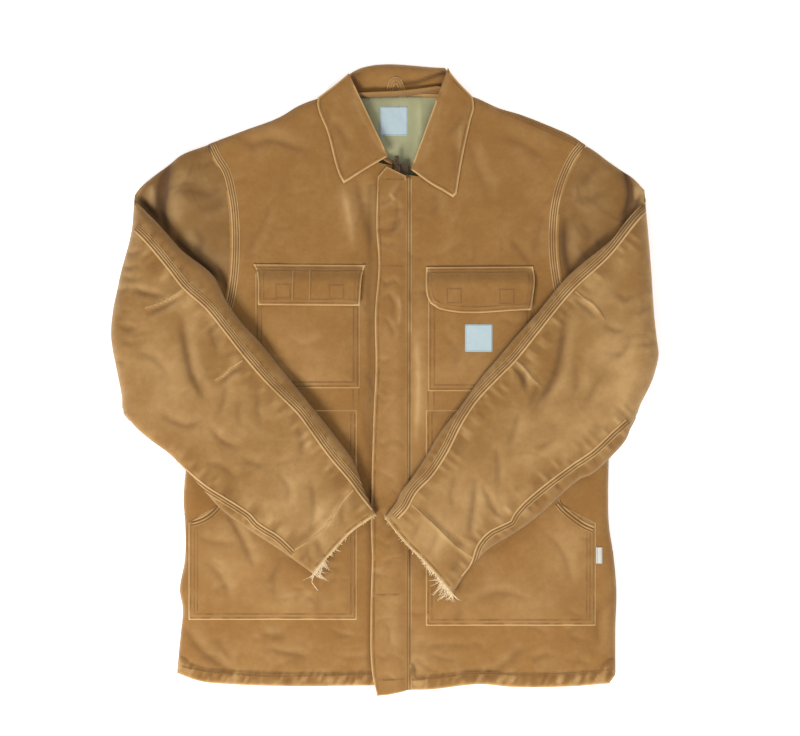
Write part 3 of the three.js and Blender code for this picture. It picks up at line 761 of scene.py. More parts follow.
class Nodes:
    """A small helper that wires a material's nodes."""

    def __init__(self, name):
        self.material = bpy.data.materials.new(name)
        self.material.use_nodes = True
        self.tree = self.material.node_tree
        self.shader = self.tree.nodes["Principled BSDF"]
        self.place = self.make("ShaderNodeTexCoord").outputs["Object"]

    def make(self, kind, **settings):
        node = self.tree.nodes.new(kind)
        for key, value in settings.items():
            setattr(node, key, value)
        return node

    def feed(self, socket, value):
        if isinstance(value, bpy.types.NodeSocket):
            self.tree.links.new(value, socket)
        else:
            socket.default_value = value

    def noise(self, scale, detail=3.0, roughness=0.55, stretch=None):
        place = self.place
        if stretch:
            mapping = self.make("ShaderNodeMapping")
            self.feed(mapping.inputs["Vector"], place)
            mapping.inputs["Scale"].default_value = stretch
            place = mapping.outputs[0]
        node = self.make("ShaderNodeTexNoise")
        self.feed(node.inputs["Vector"], place)
        node.inputs["Scale"].default_value = scale
        node.inputs["Detail"].default_value = detail
        node.inputs["Roughness"].default_value = roughness
        return node.outputs["Fac"]

    def wave(self, scale, direction, distortion=0.0):
        node = self.make("ShaderNodeTexWave", bands_direction=direction)
        self.feed(node.inputs["Vector"], self.place)
        node.inputs["Scale"].default_value = scale
        node.inputs["Distortion"].default_value = distortion
        return node.outputs["Fac"]

    def math(self, operation, a, b=0.0, clamp=False):
        node = self.make("ShaderNodeMath", operation=operation, use_clamp=clamp)
        self.feed(node.inputs[0], a)
        self.feed(node.inputs[1], b)
        return node.outputs[0]

    def band(self, value, low, high, to_low=0.0, to_high=1.0):
        node = self.make("ShaderNodeMapRange")
        for key, v in zip(("Value", "From Min", "From Max", "To Min", "To Max"),
                          (value, low, high, to_low, to_high)):
            self.feed(node.inputs[key], v)
        return node.outputs[0]

    def mix(self, share, a, b, blend="MIX"):
        node = self.make("ShaderNodeMix", data_type="RGBA", blend_type=blend)
        self.feed(node.inputs["Factor"], share)
        self.feed(node.inputs[6], a)
        self.feed(node.inputs[7], b)
        return node.outputs[2]

    def attribute(self, name):
        return self.make("ShaderNodeAttribute", attribute_name=name).outputs["Fac"]

    def bump(self, height, strength, distance):
        node = self.make("ShaderNodeBump")
        self.feed(node.inputs["Height"], height)
        node.inputs["Strength"].default_value = strength
        node.inputs["Distance"].default_value = distance
        self.feed(self.shader.inputs["Normal"], node.outputs[0])

    def weave(self, scale):
        """Crossing threads, 0 to 1: each set shows where the other dips."""
        warp, weft = self.wave(scale, "X", 0.6), self.wave(scale, "Y", 0.6)
        return self.math("MAXIMUM", warp, weft)


def rgba(color):
    return (color[0], color[1], color[2], 1.0)


def scaled(color, k):
    return tuple(min(1.0, c * k) for c in color[:3]) + (1.0,)


def canvas_material(name, color, worn, soil_and_shade, fade=1.0):
    """Duck canvas: a tight weave, cloudy fading, slubs, pale rubbed edges, and creases darkened partly by dirt and
    partly by painted shade.
    """
    n = Nodes(name)
    cloud = n.noise(7.0, 4.0, 0.6)
    patch = n.noise(26.0, 5.0, 0.65)
    fleck = n.noise(420.0, 3.0, 0.7)
    slub = n.noise(90.0, 2.0, 0.6, stretch=(1.0, 14.0, 1.0))
    base = n.mix(n.band(cloud, 0.32, 0.68), scaled(color, 0.96), scaled(color, 1.04))
    base = n.mix(n.band(patch, 0.45, 0.78, 0.0, 0.20 * fade), base, rgba(worn))
    base = n.mix(n.band(patch, 0.46, 0.25, 0.0, 0.12), base, rgba(soil_and_shade))
    base = n.mix(n.band(fleck, 0.35, 0.65, 0.0, 0.16), base, scaled(color, 1.45))
    base = n.mix(n.band(n.noise(165.0, 5.0, 0.7), 0.36, 0.66, 0.0, 0.24), base, scaled(color, 0.70))
    base = n.mix(n.band(slub, 0.45, 0.72, 0.0, 0.10), base, scaled(color, 0.72))
    ragged = n.math("MULTIPLY", n.attribute("wear"), n.band(patch, 0.30, 0.62, 0.62, 1.25))
    base = n.mix(n.math("MINIMUM", ragged, 0.92), base, rgba(worn))
    # the soil_and_shade attribute darkens the canvas: dirt, and painted shade in creases, grooves and gaps
    dirt_and_shade = n.math("MINIMUM", n.attribute("soil_and_shade"), 0.85)
    base = n.mix(dirt_and_shade, base, rgba(soil_and_shade))
    thread = n.weave(950.0)
    base = n.mix(n.band(thread, 0.2, 1.0, 0.16, 0.0), base, scaled(color, 0.55))
    n.feed(n.shader.inputs["Base Color"], base)
    n.feed(n.shader.inputs["Roughness"], n.band(fleck, 0.3, 0.7, 0.86, 0.98))
    n.shader.inputs["Specular IOR Level"].default_value = 0.18
    n.shader.inputs["Sheen Weight"].default_value = 0.12
    n.shader.inputs["Sheen Roughness"].default_value = 0.6
    height = n.math("ADD", n.math("MULTIPLY", thread, 0.5), n.math("MULTIPLY", fleck, 0.9))
    n.bump(height, 0.45, 0.0006)
    return n.material


def lining_material(name, color):
    """Pale quilted lining: a smooth weave, sewn in diamonds, darkened a little by dirt and by painted shade in its
    creases.
    """
    n = Nodes(name)
    cloud = n.noise(22.0, 4.0, 0.6)
    base = n.mix(n.band(cloud, 0.35, 0.7), scaled(color, 0.86), scaled(color, 1.10))
    # the soil_and_shade attribute: painted shade in the lining's creases, and dirt
    base = n.mix(n.math("MINIMUM", n.attribute("soil_and_shade"), 0.8), base, scaled(color, 0.45))
    base = n.mix(n.math("MINIMUM", n.attribute("wear"), 0.8), base, scaled(color, 1.35))
    thread = n.weave(1100.0)
    n.feed(n.shader.inputs["Base Color"], base)
    n.feed(n.shader.inputs["Roughness"], n.band(cloud, 0.3, 0.7, 0.62, 0.8))
    n.shader.inputs["Sheen Weight"].default_value = 0.2
    n.bump(n.math("ADD", n.math("MULTIPLY", thread, 0.4), n.noise(160.0, 3.0)), 0.3, 0.0005)
    return n.material


def plain_cloth_material(name, color, scale=800.0, roughness=0.85, contrast=0.25, bump=0.3):
    """Tape, label or thread: one dyed colour with its weave and a slight soiling."""
    n = Nodes(name)
    grain = n.noise(240.0, 4.0, 0.6)
    thread = n.weave(scale)
    base = n.mix(n.band(grain, 0.3, 0.7), scaled(color, 1 - contrast / 2), scaled(color, 1 + contrast / 2))
    base = n.mix(n.band(thread, 0.2, 1.0, 0.2, 0.0), base, scaled(color, 0.6))
    n.feed(n.shader.inputs["Base Color"], base)
    n.feed(n.shader.inputs["Roughness"], n.band(grain, 0.3, 0.7, roughness - 0.08, min(1.0, roughness + 0.08)))
    n.bump(n.math("ADD", n.math("MULTIPLY", thread, 0.5), grain), bump, 0.0004)
    return n.material


def brass_material(name, color):
    """Antique brass: darker and brighter in random stains."""
    n = Nodes(name)
    stain = n.noise(380.0, 4.0, 0.6)
    scratch = n.noise(900.0, 2.0, 0.5, stretch=(1.0, 6.0, 1.0))
    base = n.mix(n.band(stain, 0.35, 0.7), rgba(color), scaled(color, 2.6))
    n.feed(n.shader.inputs["Base Color"], base)
    n.shader.inputs["Metallic"].default_value = 1.0
    n.feed(n.shader.inputs["Roughness"], n.band(stain, 0.3, 0.7, 0.3, 0.6))
    n.bump(scratch, 0.25, 0.0002)
    return n.material


def floor_material(name, color):
    n = Nodes(name)
    base = n.mix(n.noise(3.0), scaled(color, 0.995), rgba(color))
    n.feed(n.shader.inputs["Base Color"], base)
    n.shader.inputs["Roughness"].default_value = 0.9
    n.shader.inputs["Emission Color"].default_value = (1, 1, 1, 1)
    n.shader.inputs["Emission Strength"].default_value = 0.5
    return n.material


FINISHES = {}


def finish(key):
    """The named finish, made from the coat's colours the first time that it is asked for."""
    colors = bpy.context.scene.coat_colors
    if key not in FINISHES:
        makers = {
            "body": lambda: canvas_material("duck_canvas_body", colors.body, colors.worn, colors.soil_and_shade),
            "sleeve": lambda: canvas_material("duck_canvas_sleeve", colors.sleeve, colors.worn, colors.soil_and_shade, 1.2),
            "lining": lambda: lining_material("quilted_lining", colors.lining),
            "tape": lambda: plain_cloth_material("zipper_tape", colors.tape, 1000.0),
            "metal": lambda: brass_material("antique_brass", colors.metal),
            "pile": lambda: plain_cloth_material("hook_and_loop", colors.pile, 500.0, 0.95, 0.5, 0.8),
            "border": lambda: plain_cloth_material("label_border", scaled(colors.label, 0.5), 1500.0, 0.7, 0.08, 0.15),
            "label": lambda: plain_cloth_material("blank_label", colors.label, 1500.0, 0.7, 0.08, 0.15),
            "side_label": lambda: plain_cloth_material("blank_side_label", (0.62, 0.60, 0.54), 1500.0, 0.7, 0.1),
            "thread": lambda: plain_cloth_material("stitch_thread", colors.thread, 2500.0, 0.8, 0.3),
            "fray": lambda: plain_cloth_material("frayed_thread", colors.fray, 2500.0, 0.9, 0.3),
            "floor": lambda: floor_material("studio_floor", colors.floor),
        }
        FINISHES[key] = makers[key]()
    return FINISHES[key]


# ------------------------------------------------------------------ shapes of the coat

LEVEL = {key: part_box(node)[1].z / MM for key, node in {
    "back": "back_shell", "back_lining": "back_lining", "front": "front_shell_left",
    "lining": "front_lining_left", "pocket": "chest_pocket_left", "flap": "pocket_flap_left",
    "storm": "storm_flap_upper", "forearm": "forearm_top_left", "leaf": "top_collar_left",
}.items()}
HINGE_Z = 22.8  # height of the sleeves' fold
SIDES = {"right": -1, "left": 1}


def torso_height(p):
    """The front of the coat as it lies: broad, soft waves with the creases in it."""
    z, wear, soil_and_shade = relief(p, "torso", 1.35)
    z += LEVEL["front"] - 0.9 + 0.8 * noise(p, 95, 3) + 0.45 * noise(p, 34, 4) + 0.16 * noise(p, 12, 5)
    # painted shade: a dark band down the front beside the storm flap's free edge, standing in for the shadow in that
    # gap
    gap = (p[:, 0] - SHIFT + 27) / 4.5
    soil_and_shade += 0.35 * np.exp(-(gap**2)) * (p[:, 1] < 270)
    return z, wear, soil_and_shade


def make_torso():
    """The back, both fronts, their linings and the side seams."""
    body = "coat"
    outline = flowing(outline_of("back_shell"), 6, closed=True)
    back = Cloth(outline, step=7.0)
    side = lambda x, y: ((x < -262) | (x > 285)) & (y < 60) & (y > -412) | (y > 322)
    d = back.rim(side)
    back.z = 1.9 + 6.8 * (1 - rounding(d, 14)) + 0.25 * noise(back.p, 60, 11)
    back.worn_edge(back.rim(), 2.0, 0.5)
    back.wear += 0.15 * ease(noise(back.p, 80, 12))
    obj = finished("back_panel", back.baked(), finish("body"), body, ["back_shell"], 1.6)
    parts = []
    outline = moved_in(flowing(outline_of("back_lining"), 6, closed=True), 3.0)
    lining = Cloth(outline, step=4.0)
    quilt = quilting(lining.p)
    lining.z = LEVEL["back_lining"] - 1.2 + quilt + 0.5 * noise(lining.p, 40, 13)
    lining.add_relief("lining")
    neck = np.exp(-(((lining.p - draft((8, 350))) / (70, 60)) ** 2).sum(1))
    lining.z += 1.5 * neck
    # the lining is darkened at the foot of the neck's V
    lining.soil_and_shade += 0.9 * np.exp(-(((lining.p - draft((16, 292))) / (26, 13)) ** 2).sum(1))
    lining.z -= 2.0 * (1 - rounding(lining.rim(), 4))
    back_lining = finished("back_lining_quilt", lining.baked(), finish("lining"), body,
                           ["back_lining"], 1.6)
    grounds = {}
    for name in SIDES:
        outline = flowing(outline_of(f"front_shell_{name}"), 5, closed=True)
        front = Cloth(outline)
        front.z, front.wear, front.soil_and_shade = torso_height(front.p)
        side = lambda x, y: ((x < -262) | (x > 285)) & (y < 60) & (y > -400)
        shoulder = lambda x, y: (y > 322) & (np.abs(x) > 88)
        hem = lambda x, y: (y < -398)
        neck = lambda x, y: (y > 280) & (x > -90) & (x < 100)
        d = front.rim(side)
        front.z -= 9.5 * (1 - rounding(d, 17))
        ds = front.rim(shoulder)
        front.z -= 9.0 * (1 - rounding(ds, 15))
        dh = front.rim(hem)
        rolled = 1.3 * np.exp(-(((dh - 9) / 7) ** 2))
        gathers = 1.3 * noise(front.p, 4.2, 21, 62, 3.2) * np.exp(-(((dh - 11) / 9) ** 2))
        front.z += rolled + gathers - 3.8 * (1 - rounding(dh, 4.5)) - 1.5 * np.exp(-(((dh - 19) / 2.8) ** 2))
        front.z += 0.6 * noise(front.p, 9, 23, 96, 2.8) * np.exp(-(((dh - 30) / 16) ** 2))
        front.z = np.where(front.rim(neck) < 8, np.minimum(front.z, LEVEL["front"] - 0.6), front.z)
        front.worn_edge(dh, 2.4, 0.95)
        front.worn_edge(d, 1.8, 0.5)
        front.worn_edge(ds, 1.5, 0.2)
        # painted shade: the groove above the hem and the hollows of the gathers are darkened
        front.soil_and_shade += 0.45 * np.exp(-(((dh - 19) / 2.0) ** 2)) + np.clip(-gathers, 0, 1) * 0.4
        front.wear += np.clip(gathers, 0, 1) * 0.45
        obj = finished(f"front_panel_{name}", front.baked(), finish("body"), body,
                       [f"front_shell_{name}"], 1.2)
        grounds[name] = obj
        outline = moved_in(flowing(outline_of(f"front_lining_{name}"), 6, closed=True), 2.5)
        inner = Cloth(outline, step=6.0)
        follow = np.minimum(relief(inner.p, "torso", 1.35)[0], 0.0)
        inner.z = LEVEL["lining"] - 1.9 + 0.5 * quilting(inner.p) + follow
        inner.z -= 6.0 * (1 - rounding(inner.rim(lambda x, y: side(x, y) | shoulder(x, y)), 20))
        obj = finished(f"front_lining_quilt_{name}", inner.baked(), finish("lining"), body,
                       [f"front_lining_{name}"], 1.4)
    ground = Ground(*grounds.values(), top=26.0)
    for name, s in SIDES.items():
        line = flowing(draft(ARMHOLE[name]), 5)
        if s < 0:
            seam(parts, line, ground, body, -4.0, 10.6, (1.6, 4.8, 8.0),
                 ((0.2, 0.8), (3.2, 0.4), (6.4, 0.5), (9.6, 0.5)), seed=31, dark=0.7, hangs=True)
        else:
            seam(parts, line, ground, body, -10.6, 4.0, (-1.6, -4.8, -8.0),
                 ((-0.2, 0.7), (-3.2, 0.4), (-6.4, 0.5), (-9.6, 0.5)), seed=32, dark=0.7, hangs=True)
    hems = [[(-288, -391), (-250, -399), (-205, -403), (-170, -405.5), (-100, -404.5), (-27, -402.5)],
            [(25, -410.5), (70, -407), (115, -401.5), (170, -403), (250, -400.5), (305, -396)]]
    for points in hems:
        topstitch(parts, flowing(draft(points), 5), ground, body, seed=35)
    shoulder = flowing(draft([(150, 371), (170, 362), (200, 350), (225, 338.5), (256, 324)]), 5)
    topstitch(parts, shoulder, ground, body, (0.0, 4.0), seed=36)
    for x, low, high in ((-50, -42, -11), (-42, -42, -11), (53, -42, -15), (61, -42, -15)):
        topstitch(parts, draft([(x, high), (x, low)]), ground, body, seed=37)
    finished("torso_seams", joined(parts), finish("body"), body)
    make_side_seams(body)
    return ground


def quilting(p):
    """Diamond quilting: raised pads between crossing rows of stitching, 45 mm apart."""
    u = (p[:, 0] + p[:, 1]) / 64
    v = (p[:, 0] - p[:, 1]) / 64
    return 1.1 * (np.abs(np.sin(math.pi * u)) * np.abs(np.sin(math.pi * v))) ** 0.5


def make_side_seams(body):
    """The felled side seams: a rounded welt where the front and back shells meet."""
    for name, s in SIDES.items():
        node = f"side_seam_{name}"
        outline = outline_of(node)
        onward = np.roll(outline, -1, 0)
        edge = []
        for y in np.arange(outline[:, 1].min() + 1, outline[:, 1].max() - 1, 5.0):
            cross = (outline[:, 1] - y) * (onward[:, 1] - y) < 0
            a, b = outline[cross], onward[cross]
            edge.append((s * (s * (a[:, 0] + (b[:, 0] - a[:, 0]) * (y - a[:, 1]) / (b[:, 1] - a[:, 1]))).max(), y))
        turns = 9
        bm, wear, _, places = lattice(len(edge), turns + 1)
        for v, i, k in places:
            a = k / turns * math.pi
            v[wear] = 0.55 * math.sin(a)
            v.co = ((edge[i][0] + s * (2.6 * math.sin(a) - 2.2)) * MM, edge[i][1] * MM,
                    (8.6 - 3.4 * math.cos(a)) * MM)
        bm.normal_update()
        if sum(f.normal.x for f in bm.faces) * s < 0:
            bmesh.ops.reverse_faces(bm, faces=bm.faces[:])
        finished(f"side_welt_{name}", bm, finish("body"), body, [node], 1.0)


# ------------------------------------------------------------------ sleeves


def sleeve_outlines(name, inset=0.0):
    """Plan outlines of the upper sleeve and the forearm, which share the fold line."""
    fold = draft(FOLD[name])
    upper = outline_of(f"upper_sleeve_front_{name}")
    corner = draft([HEAD_CORNER[name]])
    top_end = 0 if fold[0, 1] > fold[-1, 1] else len(fold)
    upper = with_fold(upper, np.insert(fold, top_end, corner[0], axis=0))
    lower = with_fold(outline_of(f"forearm_top_{name}"), fold)
    out = []
    for outline in (upper, lower):
        line = flowing(outline, 4, closed=True)
        if signed_area(line) < 0:
            line = line[::-1]
        at_fold = from_line(line, flowing(fold, 4))[0] < 1.5
        out.append(moved_in(line, np.where(at_fold, min(inset, 1.5), inset)[:, None]))
    return out


def sleeve_sheet(name, outline, part, facing, inset=0.0, step=GRID):
    """One of a sleeve's four sheets: part is upper or forearm, facing is +1 for its top sheet and -1 below."""
    s = SIDES[name]
    fold = flowing(draft(FOLD[name]), 4)
    armhole = flowing(draft(ARMHOLE[name] + [(-284 if s < 0 else 300, 44)]), 5)
    inner_wall = (part == "forearm") == (facing < 0)
    shrink = 3.0 if inner_wall and inset == 0 else 0.0
    if shrink:
        d, t, _ = from_line(outline, fold)
        amount = shrink * np.clip(np.minimum(t, 1 - t) / 0.06, 0, 1) * (d < 1.5)
        outline = moved_in(outline, amount[:, None])
    sheet = Cloth(outline, step, RINGS if inset == 0 else (2.0,), faces_down=facing < 0)
    p = sheet.p
    to_fold = from_line(p, fold)[0]
    d_fold = np.maximum(to_fold - shrink - min(inset, 1.5), 0.0)
    cuff = cuff_line(name)
    d_cuff = from_line(p, cuff)[0]
    end, reach = (armhole, 9) if part == "upper" else (cuff, 7)
    d_long = sheet.rim(lambda x, y: nearest_gap(x, y, end, reach))

    def profile(d_fold, d_long, inset):
        """The sheet's height and how far it has risen to it, from the distances to the fold and to its edge."""
        if part == "upper":
            mid = 9.5 + (HINGE_Z - 9.5) * (1 - ease(d_fold / 36))
            level = (LEVEL["front"] - 0.8 - inset * 0.7) if facing > 0 else 0.4 + inset * 0.8
            rise = np.minimum(rounding(d_long, 15), rounding(d_fold, 26 if facing < 0 else 14))
        else:
            mid = 35.5 - (35.5 - HINGE_Z) * (1 - ease(d_fold / 40)) - 1.5 * (1 - ease(d_cuff / 30))
            high = LEVEL["forearm"] - 0.7 - inset * 0.7 - 3.2 * (1 - ease(d_cuff / 42))
            level = high if facing > 0 else 27.6 + inset * 0.8
            rise = np.minimum(rounding(d_long, 13), rounding(d_fold, 26 if facing > 0 else 12))
        return mid + (level - mid) * rise, rise

    smooth, rise = profile(d_fold, d_long, inset)
    sheet.z = smooth.copy()
    if inset and inner_wall:
        canvas = profile(np.maximum(to_fold - 3.0, 0.0), d_long + inset, 0.0)[0]
        sheet.z = facing * np.minimum(facing * sheet.z, facing * canvas - 1.4)
    if facing > 0 and inset == 0:
        group = f"{part}_{name}"
        waves = 1.0 * noise(p, 80, 41 + s) + 0.22 * noise(p, 26, 43 + s, 50 * s, 2.2) + 0.15 * noise(p, 11, 45 + s)
        inside = np.clip(rise, 0, 1) ** 2
        sheet.add_relief(group, 1.3 if part == "forearm" else 1.1)
        sheet.z += waves * inside
        for line in (UPPER_SEAM[name], LOWER_SEAM[name]) if part == "forearm" else ():
            d_seam = from_line(p, flowing(draft(line), 6))[0]
            run = draft(line)[-1] - draft(line)[0]
            across = math.degrees(math.atan2(run[1], run[0])) + 90
            pucker = noise(p, 6.0, 55, across, 3.0) * np.exp(-(((d_seam - 8) / 13) ** 2)) * inside
            sheet.z += 1.1 * pucker
            sheet.wear += 0.3 * np.clip(pucker, 0, 1)
            # painted shade in the hollows of the puckers beside the seam
            sheet.soil_and_shade += 0.3 * np.clip(-pucker, 0, 1)
        high = LEVEL["forearm"] + 1.2 if part == "forearm" else LEVEL["front"] + 0.1
        over = np.clip(sheet.z - (high - 1.0), 0, None)
        sheet.z -= over - np.tanh(over)
        sheet.worn_edge(d_long, 3.0, 0.35)
        sheet.worn_edge(d_fold, 8.0, 0.25)
        sheet.wear += 0.10 * ease(noise(p, 45, 47))
        # painted shade: the whole top of each upper sleeve is darkened as if in shadow
        if part == "upper":
            sheet.soil_and_shade += 0.25 if s < 0 else 0.17
        else:
            # painted shade: the strip beyond the upper seam, facing away from the key light, is darkened, more on the
            # right sleeve
            beyond, t, flank = from_line(p, flowing(draft(UPPER_SEAM[name]), 6))
            upper_strip_shade = 0.20 if s < 0 else 0.06
            sheet.soil_and_shade += upper_strip_shade * ease((beyond - 11) / 4) * (flank * -s > 0)
            # painted shade: the underside strip beyond the lower seam is darkened
            beyond, t, flank = from_line(p, flowing(draft(LOWER_SEAM[name]), 6))
            sheet.soil_and_shade += 0.12 * ease((beyond - 9) / 4) * (flank * s > 0) * (beyond < 40)
            sheet.worn_edge(d_cuff, 2.2, 1.0)
            sheet.worn_edge(d_cuff, 7.0, 0.3)
            sheet.z += 0.8 * noise(p, 5, 49) * np.exp(-((d_cuff / 6) ** 2))
    elif inset == 0:
        sheet.z += 0.3 * noise(p, 50, 51) * rise
    elif facing > 0:
        sheet.z += np.minimum(relief(p, f"{part}_{name}", 1.3)[0], 0.0)
        if inner_wall:
            sheet.z -= 0.6
    if inset and part == "upper":  # the canvas dips at the fold's top corner, and its lining stays under it
        to_corner = np.linalg.norm(p - draft(HEAD_CORNER[name]), axis=1)
        sheet.z = np.minimum(sheet.z, LEVEL["front"] - 7.0 + 11.0 * ease((to_corner - 24) / 30))
        sheet.z = np.maximum(sheet.z, 5.6 if facing > 0 else 3.6)
    if inset == 0:  # the sheets meet at the fold, whatever their creases do further in
        sheet.z = smooth + (sheet.z - smooth) * ease(d_fold / 9)
    return sheet


CUFF = {"right": [(-104, -264), (-80, -236), (-50, -205), (-18, -183)],
        "left": [(86, -291), (50, -250), (20, -220), (-7, -186)]}


def cuff_line(name):
    return flowing(draft(CUFF[name]), 4)


def nearest_gap(x, y, line, limit):
    """True for the places, in the drafting frame, that are further than limit from a line."""
    d, t, _ = from_line(np.stack([x + SHIFT, y], 1), line)
    return ~((d < limit) & (t > 0.0) & (t < 1.0) | (d < 2.0))


def make_sleeves():
    """Both sleeves: each one folded tube of canvas, with its quilted tube inside, bending at the fold."""
    shells = {}
    for name in SIDES:
        for kind, inset in (("shell", 0.0), ("lining", 4.5)):
            upper, lower = sleeve_outlines(name, inset)
            step = GRID if kind == "shell" else 7.0
            sheets = [sleeve_sheet(name, upper, "upper", 1, inset, step),
                      sleeve_sheet(name, upper, "upper", -1, inset, step if kind == "shell" else 8.0),
                      sleeve_sheet(name, lower, "forearm", 1, inset, step),
                      sleeve_sheet(name, lower, "forearm", -1, inset, step)]
            bm = joined([sheet.baked() for sheet in sheets], 0.12)
            if kind == "shell":
                nodes = [f"upper_sleeve_back_{name}", f"upper_sleeve_front_{name}",
                         f"forearm_under_{name}", f"forearm_top_{name}"]
                obj = finished(f"sleeve_{name}", bm, finish("sleeve"), None, nodes, 1.1)
                shells[name] = obj
            else:
                nodes = [f"upper_sleeve_lining_{name}", f"forearm_lining_{name}"]
                obj = finished(f"sleeve_lining_{name}", bm, finish("lining"), None, nodes, 1.0)
            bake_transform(obj)
    for name, s in SIDES.items():
        body = f"forearm_{name}"
        ground = Ground(shells[name])
        parts = []
        upper = flowing(draft(UPPER_SEAM[name]), 5)
        lower = flowing(draft(LOWER_SEAM[name]), 5)
        a = -s
        rows = [a * 3.2, a * 6.4, a * 9.4]
        worn = [(a * 0.6, 1.3), (a * 4.8, 0.6), (a * 8.0, 0.5), (a * 11.0, 0.4)]
        seam(parts, upper, ground, body, min(-1.2 * a, 12 * a), max(-1.2 * a, 12 * a), rows, worn, 1.2, 61, 0.75)
        rows = [a * -3.2, a * -6.4]
        worn = [(a * -0.6, 1.3), (a * -4.8, 0.6), (a * -8.2, 0.5)]
        seam(parts, lower, ground, body, min(1.2 * a, -9.4 * a), max(1.2 * a, -9.4 * a), rows, worn, 1.0, 62, 0.75)
        hem = flowing(draft(CUFF[name]), 4)
        topstitch(parts, hem[3:-2], ground, body, (-s * 5.0,), 63)
        for points in RIDGES[name]:
            line = flowing(draft(points), 4)
            seam(parts, line, ground, body, -2.0, 2.0, (), ((0.0, 0.65),), 0.25, 64)
        finished(f"sleeve_seams_{name}", joined(parts), finish("sleeve"), body)
        make_frays(name, ground, body)
    return shells


RIDGES = {  # creases sharp enough to have worn to a pale line
    "right": [[(-281, 125), (-300, 112.5), (-316, 105.5), (-333, 99.5)],
              [(-200, 28), (-214, 19), (-228, 7), (-238, 1)],
              [(-129, -230), (-100, -211), (-85, -195), (-75, -180), (-60, -160), (-49, -148)]],
    "left": [[(253, 122), (265, 113), (277, 106), (286, 95), (293, 83)],
             [(172, 27), (181, 20.5), (190, 10), (200, -2)],
             [(30, -168), (60, -195), (90, -224), (116, -243)]],
}
FRAYS = {
    "right": [(0.0, 0.22, 90, 11.0), (0.1, 0.6, 60, 5.0), (0.5, 1.0, 50, 2.5)],
    "left": [(0.0, 0.20, 110, 13.0), (0.1, 0.45, 100, 8.0), (0.4, 1.0, 80, 3.5)],
}
LOOSE = {
    "right": [[(-104, -265), (-106, -275), (-101, -283), (-97, -288)], [(-96, -258), (-88, -263), (-84, -262)],
              [(-100, -262), (-94, -270), (-90, -268)], [(-128, -232), (-133, -238), (-131, -243)],
              [(-131, -229), (-138, -234), (-141, -231)]],
    "left": [[(85, -289), (82, -297), (88, -303)], [(74, -280), (66, -286), (60, -293), (57, -292)],
             [(86, -290), (92, -296), (94, -292)], [(80, -284), (74, -295), (70, -299)]],
}


def tube(bm, path, radius, sides=4):
    """A thin thread along a path, added to the bmesh: one ring for each point, bridged to the next."""
    path = np.asarray(path, float)
    run = unit(np.gradient(path, axis=0))
    previous = None
    for i, (p, d) in enumerate(zip(path, run)):
        across = unit(np.cross(d, (0.13, 0.21, 0.97)))
        up = np.cross(across, d)
        r = radius * (0.45 if i == len(path) - 1 else 1.0)
        ring = [bm.verts.new((p + r * (math.cos(a) * across + math.sin(a) * up)) * MM)
                for a in (2 * math.pi * k / sides for k in range(sides))]
        edges = [bm.edges.new((ring[k], ring[(k + 1) % sides])) for k in range(sides)]
        if previous:
            bmesh.ops.bridge_loops(bm, edges=previous + edges)
        else:
            bm.faces.new(ring[::-1])
        previous = edges
    bm.faces.new(ring)


def make_frays(name, ground, body):
    """The worn-through cuff edge: short fluffed ends of yarn, and a few long loose threads."""
    rng = np.random.RandomState(7 if name == "right" else 8)
    line = cuff_line(name)
    pts, along, _ = spaced(line, 0.5)
    out = np.stack([along[:, 1], -along[:, 0]], 1) * -SIDES[name]
    bm = bmesh.new()
    for start, end, count, reach in FRAYS[name]:
        for _ in range(count):
            share = start + (end - start) * rng.rand() ** 1.3
            i = min(len(pts) - 1, int(share * (len(pts) - 1)))
            base = pts[i] - out[i] * 1.5
            z = ground.height(base[None])[0] - 0.3
            if math.isnan(z):
                continue
            long = reach * (0.25 + 0.75 * rng.rand() ** 2)
            swing = rng.uniform(-1.4, 1.4)
            direction = out[i] + along[i] * swing
            curl = np.array([-direction[1], direction[0]]) * rng.uniform(-1.2, 1.2)
            path = []
            for t in np.linspace(0, 1, 4):
                xy = base + direction * long * t + curl * long * t * t
                path.append((xy[0], xy[1], z - 2.5 * t * t * rng.uniform(0, 2) + 0.6 * rng.rand()))
            tube(bm, path, rng.uniform(0.3, 0.55), 3)
    for points in LOOSE[name]:
        line = flowing(draft(points), 3)
        z = np.nanmean(np.append(ground.height(line[:1]), 38.0))
        fall = np.linspace(0, 1, len(line))
        path = np.concatenate([line, (z - 1.0 - 14.0 * fall**1.5)[:, None]], 1)
        tube(bm, path, 0.4, 4)
    bmesh.ops.recalc_face_normals(bm, faces=bm.faces[:])
    finished(f"cuff_fray_{name}", bm, finish("fray"), body)


# ------------------------------------------------------------------ pockets


def pocket_height(p, outline, crown):
    """A patch pocket's surface: close to the coat at its sewn edge, and full towards the middle."""
    a, b = outline, np.roll(outline, -1, 0)
    d = nearest(p, a, b)[0]
    torso = torso_height(p)[0]
    lift = 1.3 + crown * (1 - (1 - np.clip(d / 34, 0, 1)) ** 2)
    return torso + lift


def patch_pocket(name, which, crown, worn, corner):
    """A patch pocket's panel, its outline and the ground that it gives its seams."""
    outline = flowing(outline_of(f"{which}_pocket_{name}"), 6, closed=True, corner=corner)
    pocket = Cloth(outline)
    pocket.z = pocket_height(pocket.p, outline, crown)
    d = pocket.rim()
    pocket.z -= 1.2 * (1 - rounding(d, 1.6))
    pocket.add_relief("pocket", 1.4)
    pocket.z = np.minimum(pocket.z, LEVEL["pocket"] - 0.1)
    pocket.worn_edge(d, 1.3, worn)
    if which == "lower":
        pocket.worn_edge(pocket.rim(lambda x, y: y < -322), 4.0, 0.25)
    obj = finished(f"{which}_patch_{name}", pocket.baked(), finish("body"), "coat",
                   [f"{which}_pocket_{name}"], 1.1)
    return outline, Ground(obj)


